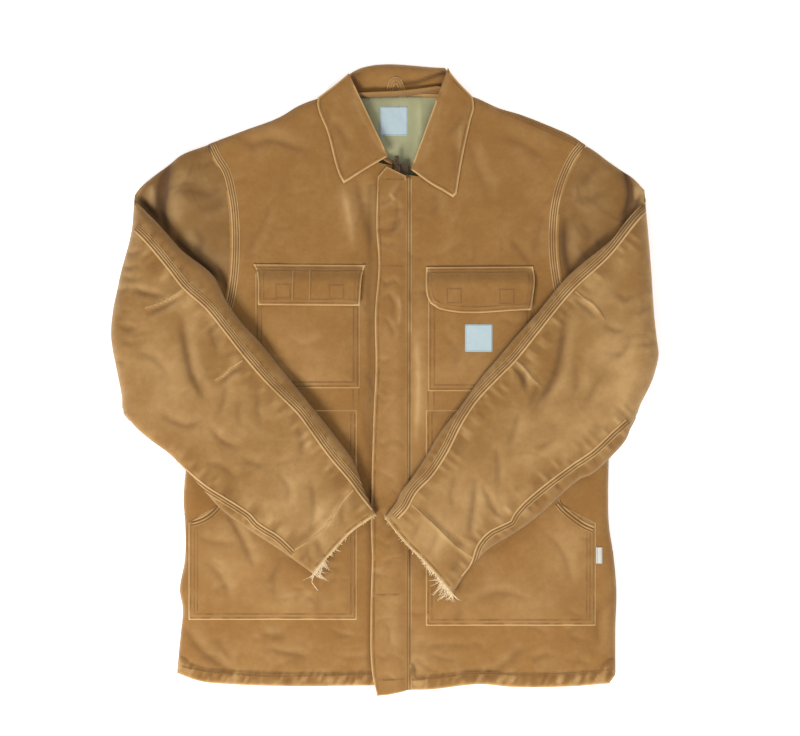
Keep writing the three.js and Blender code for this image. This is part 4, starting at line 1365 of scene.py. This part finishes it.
def make_chest_pocket(name):
    """A chest pocket: its panel, the double row down its sides and along its foot, and its flap."""
    body = "coat"
    outline, ground = patch_pocket(name, "chest", 6.0, 0.6, 36.0)
    parts = []
    low, high = outline.min(0), outline.max(0)
    corners = [(low[0], high[1] - 2), (low[0], low[1]), (high[0], low[1]), (high[0], high[1] - 2)]
    inner = [np.array(c) for c in corners]
    for inset in (3.0, 8.5):
        path = [inner[0] + (inset, 0), inner[1] + (inset, inset), inner[2] + (-inset, inset), inner[3] + (-inset, 0)]
        for a, b in zip(path[:-1], path[1:]):
            topstitch(parts, np.array([a, b]), ground, body, seed=71)
    finished(f"chest_patch_seams_{name}", joined(parts), finish("body"), body)
    make_pocket_flap(name, SIDES[name])


FLAP_ROWS = {  # stitched squares and the pencil slot, in the drafting frame
    "right": ([(-155, -136, 114, 132), (-82, -63, 113, 131)], [(-131, 152, -132, 110), (-108, 152, -108.5, 112)]),
    "left": ([(79, 98, 107, 126), (151, 170, 106, 125)], []),
}


def make_pocket_flap(name, s):
    """A chest pocket's flap: double rows round its free edges, squares over the hook patches."""
    body = f"pocket_flap_{name}"
    outline = flowing(outline_of(body), 4, closed=True, corner=30)
    flap = Cloth(outline)
    p = flap.p
    top_edge = lambda x, y: y > (155.5 if s < 0 else 152)
    free = flap.rim(lambda x, y: ~top_edge(x, y))
    top = flap.rim(top_edge)
    flap.z = LEVEL["flap"] - 0.9 - 1.2 * (1 - rounding(free, 1.7)) - 2.0 * (1 - ease(free / 9))
    flap.z -= (flap.z - LEVEL["front"] - 1.3) * (1 - ease(top / 25))
    squares, slots = FLAP_ROWS[name]
    for x0, x1, y0, y1 in squares:
        c = draft(((x0 + x1) / 2, (y0 + y1) / 2))[0]
        q = np.abs(p - c) / (12, 12)
        flap.z += 0.7 * np.exp(-(np.maximum(q[:, 0], q[:, 1]) ** 6))
    flap.z += 0.35 * noise(p, 26, 81 + s) + 0.12 * noise(p, 9, 83)
    flap.worn_edge(free, 1.25, 1.0)
    flap.worn_edge(top, 1.6, 0.6)
    for corner in ([(-187, 160), (-33, 159), (-180, 104), (-41, 103)] if s < 0 else
                   [(50, 156), (197, 157), (60, 102), (194, 97)]):
        q = (p - draft(corner)) / 6.0
        flap.wear += 0.6 * np.exp(-(q**2).sum(1))
    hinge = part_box(body)[1].y
    bend = ("coat", body, (0, hinge - 1 * MM, 0), (0, hinge - 15 * MM, 0))
    obj = finished(f"flap_{name}", flap.baked(), finish("body"), bend, [body], 1.2)
    body = bend  # the seams take the flap's placing
    ground = Ground(obj)
    parts = []
    for inset, drop, seed in ((3.4, 6, 84), (8.2, 9, 85)):
        loop = moved_in(outline, inset)
        inside = loop[(loop[:, 1] < outline[:, 1].max() - drop)]
        start = int(np.argmax(np.linalg.norm(np.diff(np.concatenate([inside, inside[:1]]), axis=0), axis=1))) + 1
        topstitch(parts, np.roll(inside, -start, 0), ground, body, seed=seed)
    for drop in (3.4, 7.6):
        a = draft((-182, 157.5) if s < 0 else (53, 154.5))[0] - (0, drop - 1.5)
        b = draft((-38, 156.5) if s < 0 else (194, 155.0))[0] - (0, drop - 1.5)
        topstitch(parts, np.array([a, b]), ground, body, seed=86)
    for x0, x1, y0, y1 in squares:
        ring = draft([(x0, y0), (x1, y0), (x1, y1), (x0, y1), (x0, y0)])
        for a, b in zip(ring[:-1], ring[1:]):
            topstitch(parts, np.array([a, b]), ground, body, seed=87)
    for x0, y0, x1, y1 in slots:
        seam(parts, draft([(x0, y0), (x1, y1)]), ground, body, -2.2, 2.2, (0.8,), ((-0.9, 0.25),), 0.4, 88)
    finished(f"flap_seams_{name}", joined(parts), finish("body"), body)


def make_lower_pocket(name):
    """A lower pocket: its panel, the rows round it and its slanted mouth."""
    s = SIDES[name]
    body = "coat"
    _, ground = patch_pocket(name, "lower", 3.6, 0.8, 25)
    parts = []
    x_in, x_out, low = (45, 276, -328) if s < 0 else (50, 283, -336)
    for inset in (3.0, 8.2, 12.6):
        side = draft([(s * (x_out - inset), -196 - inset * 0.4), (s * (x_out - inset), low + inset)])
        topstitch(parts, side, ground, body, seed=91)
        if inset < 12:
            base = draft([(s * (x_out - inset), low + inset), (s * (x_in + inset), low + inset)])
            topstitch(parts, base, ground, body, seed=92)
            inner = draft([(s * (x_in + inset), low + inset), (s * (x_in + inset), -44)])
            topstitch(parts, inner, ground, body, seed=93)
    mouth = [(-273, -191), (-262, -188), (-250, -181.5), (-241, -173), (-235, -165)] if s < 0 else [
        (281, -200), (268, -194), (254, -184), (242, -174), (234, -165)]
    line = flowing(draft(mouth), 5)
    rows = [s * 3.0, s * 7.5]
    seam(parts, line, ground, body, min(-s * 0.8, s * 9.5), max(-s * 0.8, s * 9.5), rows,
         ((s * 0.4, 1.2), (s * 5.2, 0.5), (s * 8.8, 0.4)), 0.8, 94)
    finished(f"lower_patch_seams_{name}", joined(parts), finish("body"), body)


def make_patches():
    """Hook and loop: short-pile patches in place of the plain ones, sewn round their edges."""
    for node, obj in sorted(frame["nodes"].items()):
        if "_hook_" not in node and "_loop_" not in node:
            continue
        body = obj["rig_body"]
        facing = -1 if "_hook_" in node else 1
        outline, low, high = box_outline(node)
        pile = Cloth(moved_in(outline, 0.3), step=1.6, rings=(0.4,), faces_down=facing < 0)
        rim = pile.rim()
        rng = np.random.RandomState(len(node))
        tall = high if facing > 0 else low
        tuft = rng.uniform(-0.22, 0.0, len(pile.z)) * (rim > 1.6)
        pile.z = tall + facing * (tuft - 0.3 * np.exp(-(((rim - 1.8) / 0.7) ** 2)) - 0.2 * (rim < 0.3))
        finished(f"{node}_pile", pile.baked(), finish("pile"), body, [node],
                 0.55 if "pocket" in node else 1.1)


# ------------------------------------------------------------------ storm flap


def storm_height(p):
    """The storm flap: full over the zipper, falling to its free edge and to its hinge."""
    x = p[:, 0] - SHIFT
    z = LEVEL["storm"] - 0.4 - 2.2 * (1 - ease((x + 24.0) / 15)) - 2.3 * ease((x - 10) / 13)
    z += 0.35 * noise(p, 30, 95) + 0.15 * noise(p, 10, 96)
    return z


def make_storm_flap(torso):
    body = "storm_flap"
    sheets = {"upper": body, "middle": "coat", "lower": body}
    made = {}
    for which, rides in sheets.items():
        node = f"storm_flap_{which}"
        outline = outline_of(node)
        split = {"upper": (False, True), "middle": (True, True), "lower": (True, False)}[which]
        high, low = outline[:, 1].max(), outline[:, 1].min()
        if split[0]:
            outline[outline[:, 1] > high - 0.1, 1] += 0.5
        if split[1]:
            outline[outline[:, 1] < low + 0.1, 1] -= 0.5
        outline = flowing(outline, 5, closed=True)
        flap = Cloth(outline)
        free = flap.rim(lambda x, y: (x < -2) & ~(np.abs(y + 118.5) < 1.2) & ~(np.abs(y + 241.5) < 1.2)
                        | (y > 276) | (y < -424))
        flap.z = storm_height(flap.p) - 1.3 * (1 - rounding(free, 1.8))
        flap.add_relief("storm", 1.3)
        flap.worn_edge(free, 1.4, 1.1)
        obj = finished(f"storm_{which}", flap.baked(), finish("body"), rides, [node], 1.2)
        made[which] = (obj, outline, rides)
    for which, (obj, outline, rides) in made.items():
        ground = Ground(obj)
        parts = []
        y0, y1 = outline[:, 1].min(), outline[:, 1].max()
        edge = [(-15.5, 276), (-15.8, 250), (-15, 210), (-12.5, 160), (-17, 90), (-16, 20), (-19, -50), (-21.5, -118),
                (-21.5, -242), (-23, -320), (-21.5, -395), (-17.5, -424)]
        line = flowing(draft(edge), 5)
        line = line[(line[:, 1] < y1 - 1) & (line[:, 1] > y0 + 1)]
        topstitch(parts, line + (1.5, 0), ground, rides, seed=97)
        if which == "upper":
            topstitch(parts, draft([(-12, 276.5), (19, 276)]), ground, rides, seed=98)
            topstitch(parts, draft([(-15, 158), (18, 157.5)]), ground, rides, seed=99)
        if which == "lower":
            topstitch(parts, draft([(-21, -293), (13, -292.5)]), ground, rides, seed=100)
            topstitch(parts, draft([(-16, -410), (18, -409)]), ground, rides, seed=101)
        finished(f"storm_seams_{which}", joined(parts), finish("body"), rides)
    make_storm_welt(torso)


def make_storm_welt(torso):
    """The sewn base of the storm flap: a felled strip from the hinge down to the left front."""
    stations = np.arange(-424.0, 281.0, 3.5)
    offsets = np.array([-7.4, -5, -2.5, -0.6, 0.3, 1.1, 1.9, 2.7, 3.5, 4.3, 5.1, 5.9, 6.7, 7.5, 8.3])
    bm, wear, soil_and_shade, places = lattice(len(stations), len(offsets))
    hinge = 23.0 + SHIFT
    grid_x = hinge + offsets
    plan = np.array([(hinge + offsets[-1] + 1, y) for y in stations])
    ground = torso.height(plan)
    ground = np.where(np.isnan(ground), np.nanmean(ground), ground)
    rows = (1.9, 5.1)
    wobble = noise(np.stack([stations, 0 * stations], 1), 14, 102)
    for v, i, k in places:
        o = offsets[k]
        low = ground[i] - 0.4
        slope = 22.9 - (22.9 - low) * ease((o - 0.4) / 7.9)
        dip = sum(math.exp(-(((o - r) / 0.7) ** 2)) for r in rows)
        ridge = math.exp(-(((o - 3.5) / 0.9) ** 2)) + math.exp(-(((o - 6.9) / 0.8) ** 2))
        z = slope - 0.5 * dip + 0.45 * ridge + 0.15 * wobble[i] * (o > 0)
        if o < 0:
            z = 22.5
        v[wear] = (0.45 + 0.3 * wobble[i]) * ridge + 0.1
        v[soil_and_shade] = 0.45 * dip
        v.co = (grid_x[k] * MM, stations[i] * MM, z * MM)
    face_up(bm)
    obj = finished("storm_flap_welt", bm, finish("body"), "coat", ["storm_flap_base"], 1.4)
    on = Ground(obj)
    line = np.array([(hinge, 280.0), (hinge, -423.0)])
    for r in rows:
        sew(line, r, on, "coat", lift=0.2)


# ------------------------------------------------------------------ collar and neck

ROLL = {"right": [(-2, 308), (-15, 320), (-30, 345), (-45, 372), (-48, 388), (-53, 410), (-56, 422)],
        "left": [(28, 290), (42, 305), (50, 318), (55, 338), (62, 360), (67, 380), (72, 400), (80, 428)]}


def leaf_height(p, name):
    roll = flowing(draft(ROLL[name]), 4)
    d = from_line(p, roll)[0]
    z = 21.3 + 3.0 * np.exp(-((d / 34) ** 2))
    z += 0.6 * noise(p, 45, 111 + SIDES[name]) + 0.25 * noise(p, 16, 113)
    return z, d


def make_collar():
    """The stand, the fall round the back of the neck, and the two turned-down leaves."""
    for name, s in SIDES.items():
        body = f"collar_leaf_{name}"
        outline = flowing(outline_of(f"top_collar_{name}"), 4, closed=True, corner=30)
        roll = flowing(draft(ROLL[name]), 4)
        for which, drop, step in (("top", 0.0, GRID), ("under", 1.9, 4.0)):
            cut = outline if which == "top" else moved_in(outline, 1.2)
            leaf = Cloth(cut, step)
            z, d = leaf_height(leaf.p, name)
            free = leaf.rim(lambda x, y: from_line(np.stack([x + SHIFT, y], 1), roll)[0] > 4)
            leaf.z = z - drop - 3.2 * (1 - rounding(d, 7)) - 0.9 * (1 - rounding(free, 1.8))
            if which == "top":
                leaf.add_relief("leaf")
                leaf.worn_edge(free, 1.5, 1.15)
                leaf.worn_edge(d, 6.0, 0.12)
                tip = draft((-63, 271) if s < 0 else (87, 252))
                leaf.wear += 0.8 * np.exp(-(((leaf.p - tip) / 5) ** 2).sum(1))
            obj = finished(f"collar_{which}_{name}", leaf.baked(), finish("body"), body,
                           [f"{which}_collar_{name}"], 1.3 if which == "top" else 1.0)
            if which == "top":
                ground = Ground(obj)
                parts = []
                loop = moved_in(cut, 4.2)
                far = from_line(loop, roll)[0] > 9
                start = next(i for i in range(len(far)) if far[i] and not far[i - 1])
                row = np.roll(loop, -start, 0)[np.roll(far, -start)]
                topstitch(parts, row, ground, body, seed=115)
                finished(f"collar_seams_{name}", joined(parts), finish("body"), body)
    outline = outline_of("collar_fall")
    outline[outline[:, 1] < 404, 1] -= 8
    outline = flowing(outline, 4, closed=True, corner=50)
    fall = Cloth(outline)
    x, y = fall.p[:, 0] - SHIFT, fall.p[:, 1]
    back = fall.rim(lambda x, y: y > 400)
    inner = np.clip((y - 396) / 26, 0, 1)
    fall.z = 3.0 + 14.5 * (0.40 + 0.60 * ease(inner)) * rounding(back, 11) * ease((y - 391) / 6)
    fold = flowing(draft([(12, 409), (40, 412), (60, 419), (76, 425)]), 4)
    df = from_line(fall.p, fold)[0]
    fall.z -= 4.5 * np.exp(-((df / 3.0) ** 2))
    fall.z += 0.5 * noise(fall.p, 14, 121, 80, 1.5)
    # painted shade along the fold of the collar's back
    fall.soil_and_shade += 0.8 * np.exp(-((df / 2.6) ** 2))
    # painted shadow at both ends of the collar's back
    ends = np.exp(-(((x + 46) / 10) ** 2)) + np.exp(-(((x - 74) / 8) ** 2))
    fall.soil_and_shade += 0.45 * ends * (y < 424)
    fall.worn_edge(back, 3.0, 0.35)
    obj = finished("collar_back", fall.baked(), finish("body"), "coat", ["collar_fall"], 1.3)
    make_stand()
    make_neck(obj)


def make_stand():
    """The stand: a band round the neck, from the lining up to the roll of the leaves."""
    path = [(6, 303), (-3, 308), (-15, 321), (-30, 346), (-44, 373), (-46, 389), (-20, 390.5), (12, 392),
            (45, 395.5), (70, 399), (67, 380), (62, 360), (55, 338), (50, 318), (42, 305), (33, 296)]
    line = flowing(draft(path), 4, corner=60)
    pts, along, _ = spaced(line, 3.5)
    side = sideways(along)
    ups = np.linspace(0, 1, 9)
    bm, wear, soil_and_shade, places = lattice(len(pts), len(ups))
    for v, i, k in places:
        t = ups[k]
        xy = pts[i] + side[i] * 6.5 * t**1.5
        # the band is darker towards its foot by the lining
        v[wear], v[soil_and_shade] = 0.1, 0.35 * (1 - t)
        v.co = (xy[0] * MM, xy[1] * MM, (8.6 + 9.6 * math.sin(t * math.pi / 2)) * MM)
    bm.normal_update()
    centre = draft((10, 350))[0] * MM
    inward = sum(f.normal.x * (centre[0] - f.calc_center_median().x)
                 + f.normal.y * (centre[1] - f.calc_center_median().y) for f in bm.faces)
    if inward < 0:
        bmesh.ops.reverse_faces(bm, faces=bm.faces[:])
    finished("collar_band", bm, finish("body"), "coat", ["collar_stand"], 1.4)


def make_neck(collar_back):
    """The hanger loop and the blank label inside the neck."""
    ground = Ground(collar_back)
    path = flowing(draft([(0.5, 389), (0.5, 402), (3, 410), (8.5, 414), (14, 410), (16.5, 402), (17, 389)]), 3)
    across = section(-4.6, 4.6, (-2.9, 2.9), ((-4.0, 0.9), (4.0, 0.9)), 1.6, 0.5)
    bm = strip(path, across, ground, step=2.5, pucker=0.1, seed=131)
    for r in (-2.9, 2.9):
        sew(path, r, ground, "coat", lift=1.3, pitch=2.4)
    finished("hanger_strap", joined([bm]), finish("body"), "coat", ["hanger_loop"], 1.2)
    make_label("neck_label", "coat", Ground(bpy.data.objects["back_lining_quilt"]), finish("label"), "neck_patch")


def make_label(node, body, ground, material, name, lift=0.55):
    """A blank woven label that follows the cloth under it, with its edges turned under and stitched."""
    outline = box_outline(node)[0]
    size = min(np.ptp(outline, axis=0))
    label = Cloth(outline, step=2.0 if size > 15 else 1.2, rings=(0.5, 0.7))
    d = label.rim()
    base = ground.height(label.p)
    base = np.where(np.isnan(base), np.nanmean(base), base)
    label.z = base + lift + 0.35 * rounding(d, 1.4)
    obj = finished(name, label.baked(), material, body, [node], 0.5)
    on = Ground(obj)
    ring = moved_in(outline, 1.6)
    ring = np.concatenate([ring, ring[:1]])
    for a, b in zip(ring[:-1], ring[1:]):
        sew(np.array([a, b]), 0.0, on, "labels", lift=0.05, pitch=2.0)
    return obj


# ------------------------------------------------------------------ zipper


def make_zipper():
    """Tapes, every tooth, the retainer box, the slider and its pull."""
    for name, s in SIDES.items():
        node = f"zipper_tape_{name}"
        outline, _, high = box_outline(node)
        tape = Cloth(outline, step=5.0, rings=(0.8,))
        tape.z = high - 0.05 + 0.08 * noise(tape.p, 12, 141)
        finished(f"zip_tape_{name}", tape.baked(), finish("tape"), "coat", [node], 0.8)
        node = f"zipper_teeth_{name}"
        low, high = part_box(node)
        tooth = bmesh.new()
        bmesh.ops.create_cube(tooth, size=1.0)
        bmesh.ops.bevel(tooth, geom=tooth.edges[:], offset=0.12, affect="EDGES", segments=1, profile=0.5,
                        material=-1)
        shape, quads = template(tooth)
        pitch = 3.0
        count = int((high.y - low.y) / MM / pitch)
        size = np.array(((high.x - low.x) / MM * 0.96, 1.7, (high.z - low.z) / MM * 0.94))
        middle = np.array(((low.x + high.x) / 2 / MM, 0, (low.z + high.z) / 2 / MM))
        start = low.y / MM + 1.2 + (pitch / 2 if s > 0 else 0.0)
        points, faces = [], []
        for i in range(count):
            points.append(shape * size + middle + (0, start + i * pitch, 0))
            faces += [[k + i * len(shape) for k in f] for f in quads]
        bm = from_arrays(np.concatenate(points) * MM, faces)
        finished(f"zip_teeth_{name}", bm, finish("metal"), "coat", [node], smooth=False)
    for node, body in (("zipper_retainer", "coat"), ("zipper_slider", "zipper_slider"), ("zipper_pull", "zipper_pull")):
        bm = bmesh.new()
        bm.from_mesh(frame["nodes"][node].data)
        bmesh.ops.remove_doubles(bm, verts=bm.verts[:], dist=1e-6)
        bmesh.ops.dissolve_limit(bm, angle_limit=0.02, verts=bm.verts[:], edges=bm.edges[:])
        sharp = [e for e in bm.edges if len(e.link_faces) == 2 and e.calc_face_angle() > 0.6]
        bmesh.ops.bevel(bm, geom=sharp, offset=0.22 * MM, affect="EDGES", segments=2, profile=0.5, material=-1,
                        clamp_overlap=True)
        finished(node.replace("zipper", "zip"), bm, finish("metal"), body, [node], smooth=False)


# ------------------------------------------------------------------ stage


def make_stage(stage):
    """A pale floor, soft lights and a camera straight above the coat."""
    scene = bpy.context.scene
    bm = bmesh.new()
    bmesh.ops.create_grid(bm, x_segments=1, y_segments=1, size=6.0)
    bmesh.ops.translate(bm, vec=(0, 0, -0.0006), verts=bm.verts[:])
    mesh = bpy.data.meshes.new("studio_floor")
    bm.to_mesh(mesh)
    bm.free()
    mesh.materials.append(finish("floor"))
    floor = bpy.data.objects.new("studio_floor", mesh)
    scene.collection.objects.link(floor)

    def lamp(name, place, size, energy, color=(1, 1, 1)):
        data = bpy.data.lights.new(name, "AREA")
        data.shape = "DISK"
        data.size = size
        data.energy = energy
        data.color = color
        obj = bpy.data.objects.new(name, data)
        obj.location = place
        obj.rotation_euler = (-Vector(place)).to_track_quat("-Z", "Y").to_euler()
        scene.collection.objects.link(obj)

    lamp("key", (-1.0, -1.8, 2.2), 1.2, stage.key_power)
    lamp("fill", (1.8, 1.5, 2.6), 2.6, stage.fill_power)
    world = bpy.data.worlds.new("studio")
    world.use_nodes = True
    world.node_tree.nodes["Background"].inputs["Color"].default_value = (1, 1, 1, 1)
    world.node_tree.nodes["Background"].inputs["Strength"].default_value = stage.ambient
    scene.world = world
    scene.view_settings.view_transform = "Standard"
    scene.view_settings.look = "None"
    camera = bpy.data.cameras.new("camera")
    camera.sensor_width = 36.0
    camera.lens = stage.camera_height * 36.0 / stage.view_width
    camera.clip_end = 50
    obj = bpy.data.objects.new("camera", camera)
    obj.location = (0.0183, 0.0178, stage.camera_height + 0.025)
    scene.collection.objects.link(obj)
    scene.camera = obj


# ------------------------------------------------------------------ settings


def color_property(name, description, default):
    return FloatVectorProperty(name=name, description=description, default=default, size=3, min=0.0, max=1.0,
                               subtype="COLOR")


class CoatColors(bpy.types.PropertyGroup):
    body: color_property("Body canvas", "Canvas of the body, pockets and collar", (0.300, 0.142, 0.0345))
    sleeve: color_property("Sleeve canvas", "Canvas of the sleeves, which has faded more", (0.272, 0.131, 0.0315))
    worn: color_property("Worn canvas", "Where the canvas is rubbed pale", (0.66, 0.42, 0.180))
    # the colour for dirt, and for the painted shade in creases, grooves and gaps
    soil_and_shade: color_property("Soiled canvas", "Where the canvas is dark in seams and creases", (0.085, 0.036, 0.010))
    lining: color_property("Lining", "Quilted lining", (0.35, 0.34, 0.18))
    tape: color_property("Zipper tape", "Woven tape of the zipper", (0.07, 0.042, 0.02))
    metal: color_property("Zipper metal", "Antique brass of the zipper", (0.07, 0.045, 0.025))
    pile: color_property("Hook and loop", "Pile of the fastening patches", (0.12, 0.07, 0.035))
    label: color_property("Labels", "Blank woven labels", (0.44, 0.54, 0.57))
    thread: color_property("Thread", "Topstitching", (0.27, 0.13, 0.038))
    fray: color_property("Frayed yarn", "Broken yarn at the cuffs", (0.90, 0.70, 0.44))
    floor: color_property("Floor", "Studio floor", (0.93, 0.93, 0.93))


class CoatStage(bpy.types.PropertyGroup):
    key_power: FloatProperty(name="Key light", description="Power of the soft key light", default=86.0,
                             subtype="POWER")
    fill_power: FloatProperty(name="Fill light", description="Power of the fill light", default=22.0, subtype="POWER")
    ambient: FloatProperty(name="Ambient", description="Strength of the even light all round", default=0.5)
    camera_height: FloatProperty(name="Camera height", description="Above the coat's top", default=3.2,
                                 subtype="DISTANCE", unit="LENGTH")
    view_width: FloatProperty(name="View width", description="Width that the camera takes in at the coat",
                              default=1.096, subtype="DISTANCE", unit="LENGTH")


# ------------------------------------------------------------------ operators


class COAT_OT_stage(bpy.types.Operator):
    """Set up the floor, the lights and the camera"""
    bl_idname = "coat.stage"
    bl_label = "Stage"

    def execute(self, context):
        make_stage(context.scene.coat_stage)
        return {"FINISHED"}


class COAT_OT_torso(bpy.types.Operator):
    """Lay out the back, the fronts, their linings and seams"""
    bl_idname = "coat.torso"
    bl_label = "Torso"

    def execute(self, context):
        SHARED["torso"] = make_torso()
        return {"FINISHED"}


class COAT_OT_collar(bpy.types.Operator):
    """Sew the collar, hanger loop and neck label"""
    bl_idname = "coat.collar"
    bl_label = "Collar"

    def execute(self, context):
        make_collar()
        return {"FINISHED"}


class COAT_OT_zipper(bpy.types.Operator):
    """Fit the zipper"""
    bl_idname = "coat.zipper"
    bl_label = "Zipper"

    def execute(self, context):
        make_zipper()
        return {"FINISHED"}


class COAT_OT_storm_flap(bpy.types.Operator):
    """Sew the storm flap over the zipper"""
    bl_idname = "coat.storm_flap"
    bl_label = "Storm Flap"

    def execute(self, context):
        make_storm_flap(SHARED["torso"])
        return {"FINISHED"}


class COAT_OT_pockets(bpy.types.Operator):
    """Sew on the pockets, their flaps, fastening patches and labels"""
    bl_idname = "coat.pockets"
    bl_label = "Pockets"

    def execute(self, context):
        for name in SIDES:
            make_chest_pocket(name)
            make_lower_pocket(name)
        make_patches()
        make_label("chest_label", "coat", Ground(bpy.data.objects["chest_patch_left"]), finish("label"), "chest_badge")
        make_label("side_label", "coat", Ground(bpy.data.objects["front_panel_left"]), finish("side_label"),
                   "side_tag", 0.8)
        return {"FINISHED"}


class COAT_OT_sleeves(bpy.types.Operator):
    """Fold the sleeves across the front, with their seams and frayed cuffs"""
    bl_idname = "coat.sleeves"
    bl_label = "Sleeves"

    def execute(self, context):
        make_sleeves()
        return {"FINISHED"}


class COAT_OT_stitches(bpy.types.Operator):
    """Run the topstitching along every seam"""
    bl_idname = "coat.stitches"
    bl_label = "Stitches"

    def execute(self, context):
        for body in sorted(STITCHES, key=str):
            name = body[1] if isinstance(body, tuple) else body
            thread_piece(f"stitches_{name}", body, finish("border" if name == "labels" else "thread"))
        return {"FINISHED"}


class COAT_PT_panel(bpy.types.Panel):
    """The coat's settings and pieces"""
    bl_label = "Coat"
    bl_idname = "COAT_PT_panel"
    bl_space_type = "VIEW_3D"
    bl_region_type = "UI"
    bl_category = "Coat"

    def draw(self, context):
        for settings in (context.scene.coat_colors, context.scene.coat_stage):
            for key in settings.__annotations__:
                self.layout.prop(settings, key)
        for operator in OPERATORS:
            self.layout.operator(operator.bl_idname)


SHARED = {}
OPERATORS = (COAT_OT_stage, COAT_OT_torso, COAT_OT_collar, COAT_OT_zipper, COAT_OT_storm_flap, COAT_OT_pockets,
             COAT_OT_sleeves, COAT_OT_stitches)
CLASSES = (CoatColors, CoatStage, *OPERATORS, COAT_PT_panel)


def register():
    for cls in CLASSES:
        bpy.utils.register_class(cls)
    bpy.types.Scene.coat_colors = PointerProperty(type=CoatColors)
    bpy.types.Scene.coat_stage = PointerProperty(type=CoatStage)


def unregister():
    del bpy.types.Scene.coat_stage
    del bpy.types.Scene.coat_colors
    for cls in reversed(CLASSES):
        bpy.utils.unregister_class(cls)


def main():
    register()
    bpy.ops.coat.stage()
    bpy.ops.coat.torso()
    bpy.ops.coat.collar()
    bpy.ops.coat.zipper()
    bpy.ops.coat.storm_flap()
    bpy.ops.coat.pockets()
    bpy.ops.coat.sleeves()
    bpy.ops.coat.stitches()


if __name__ == "__main__":
    main()
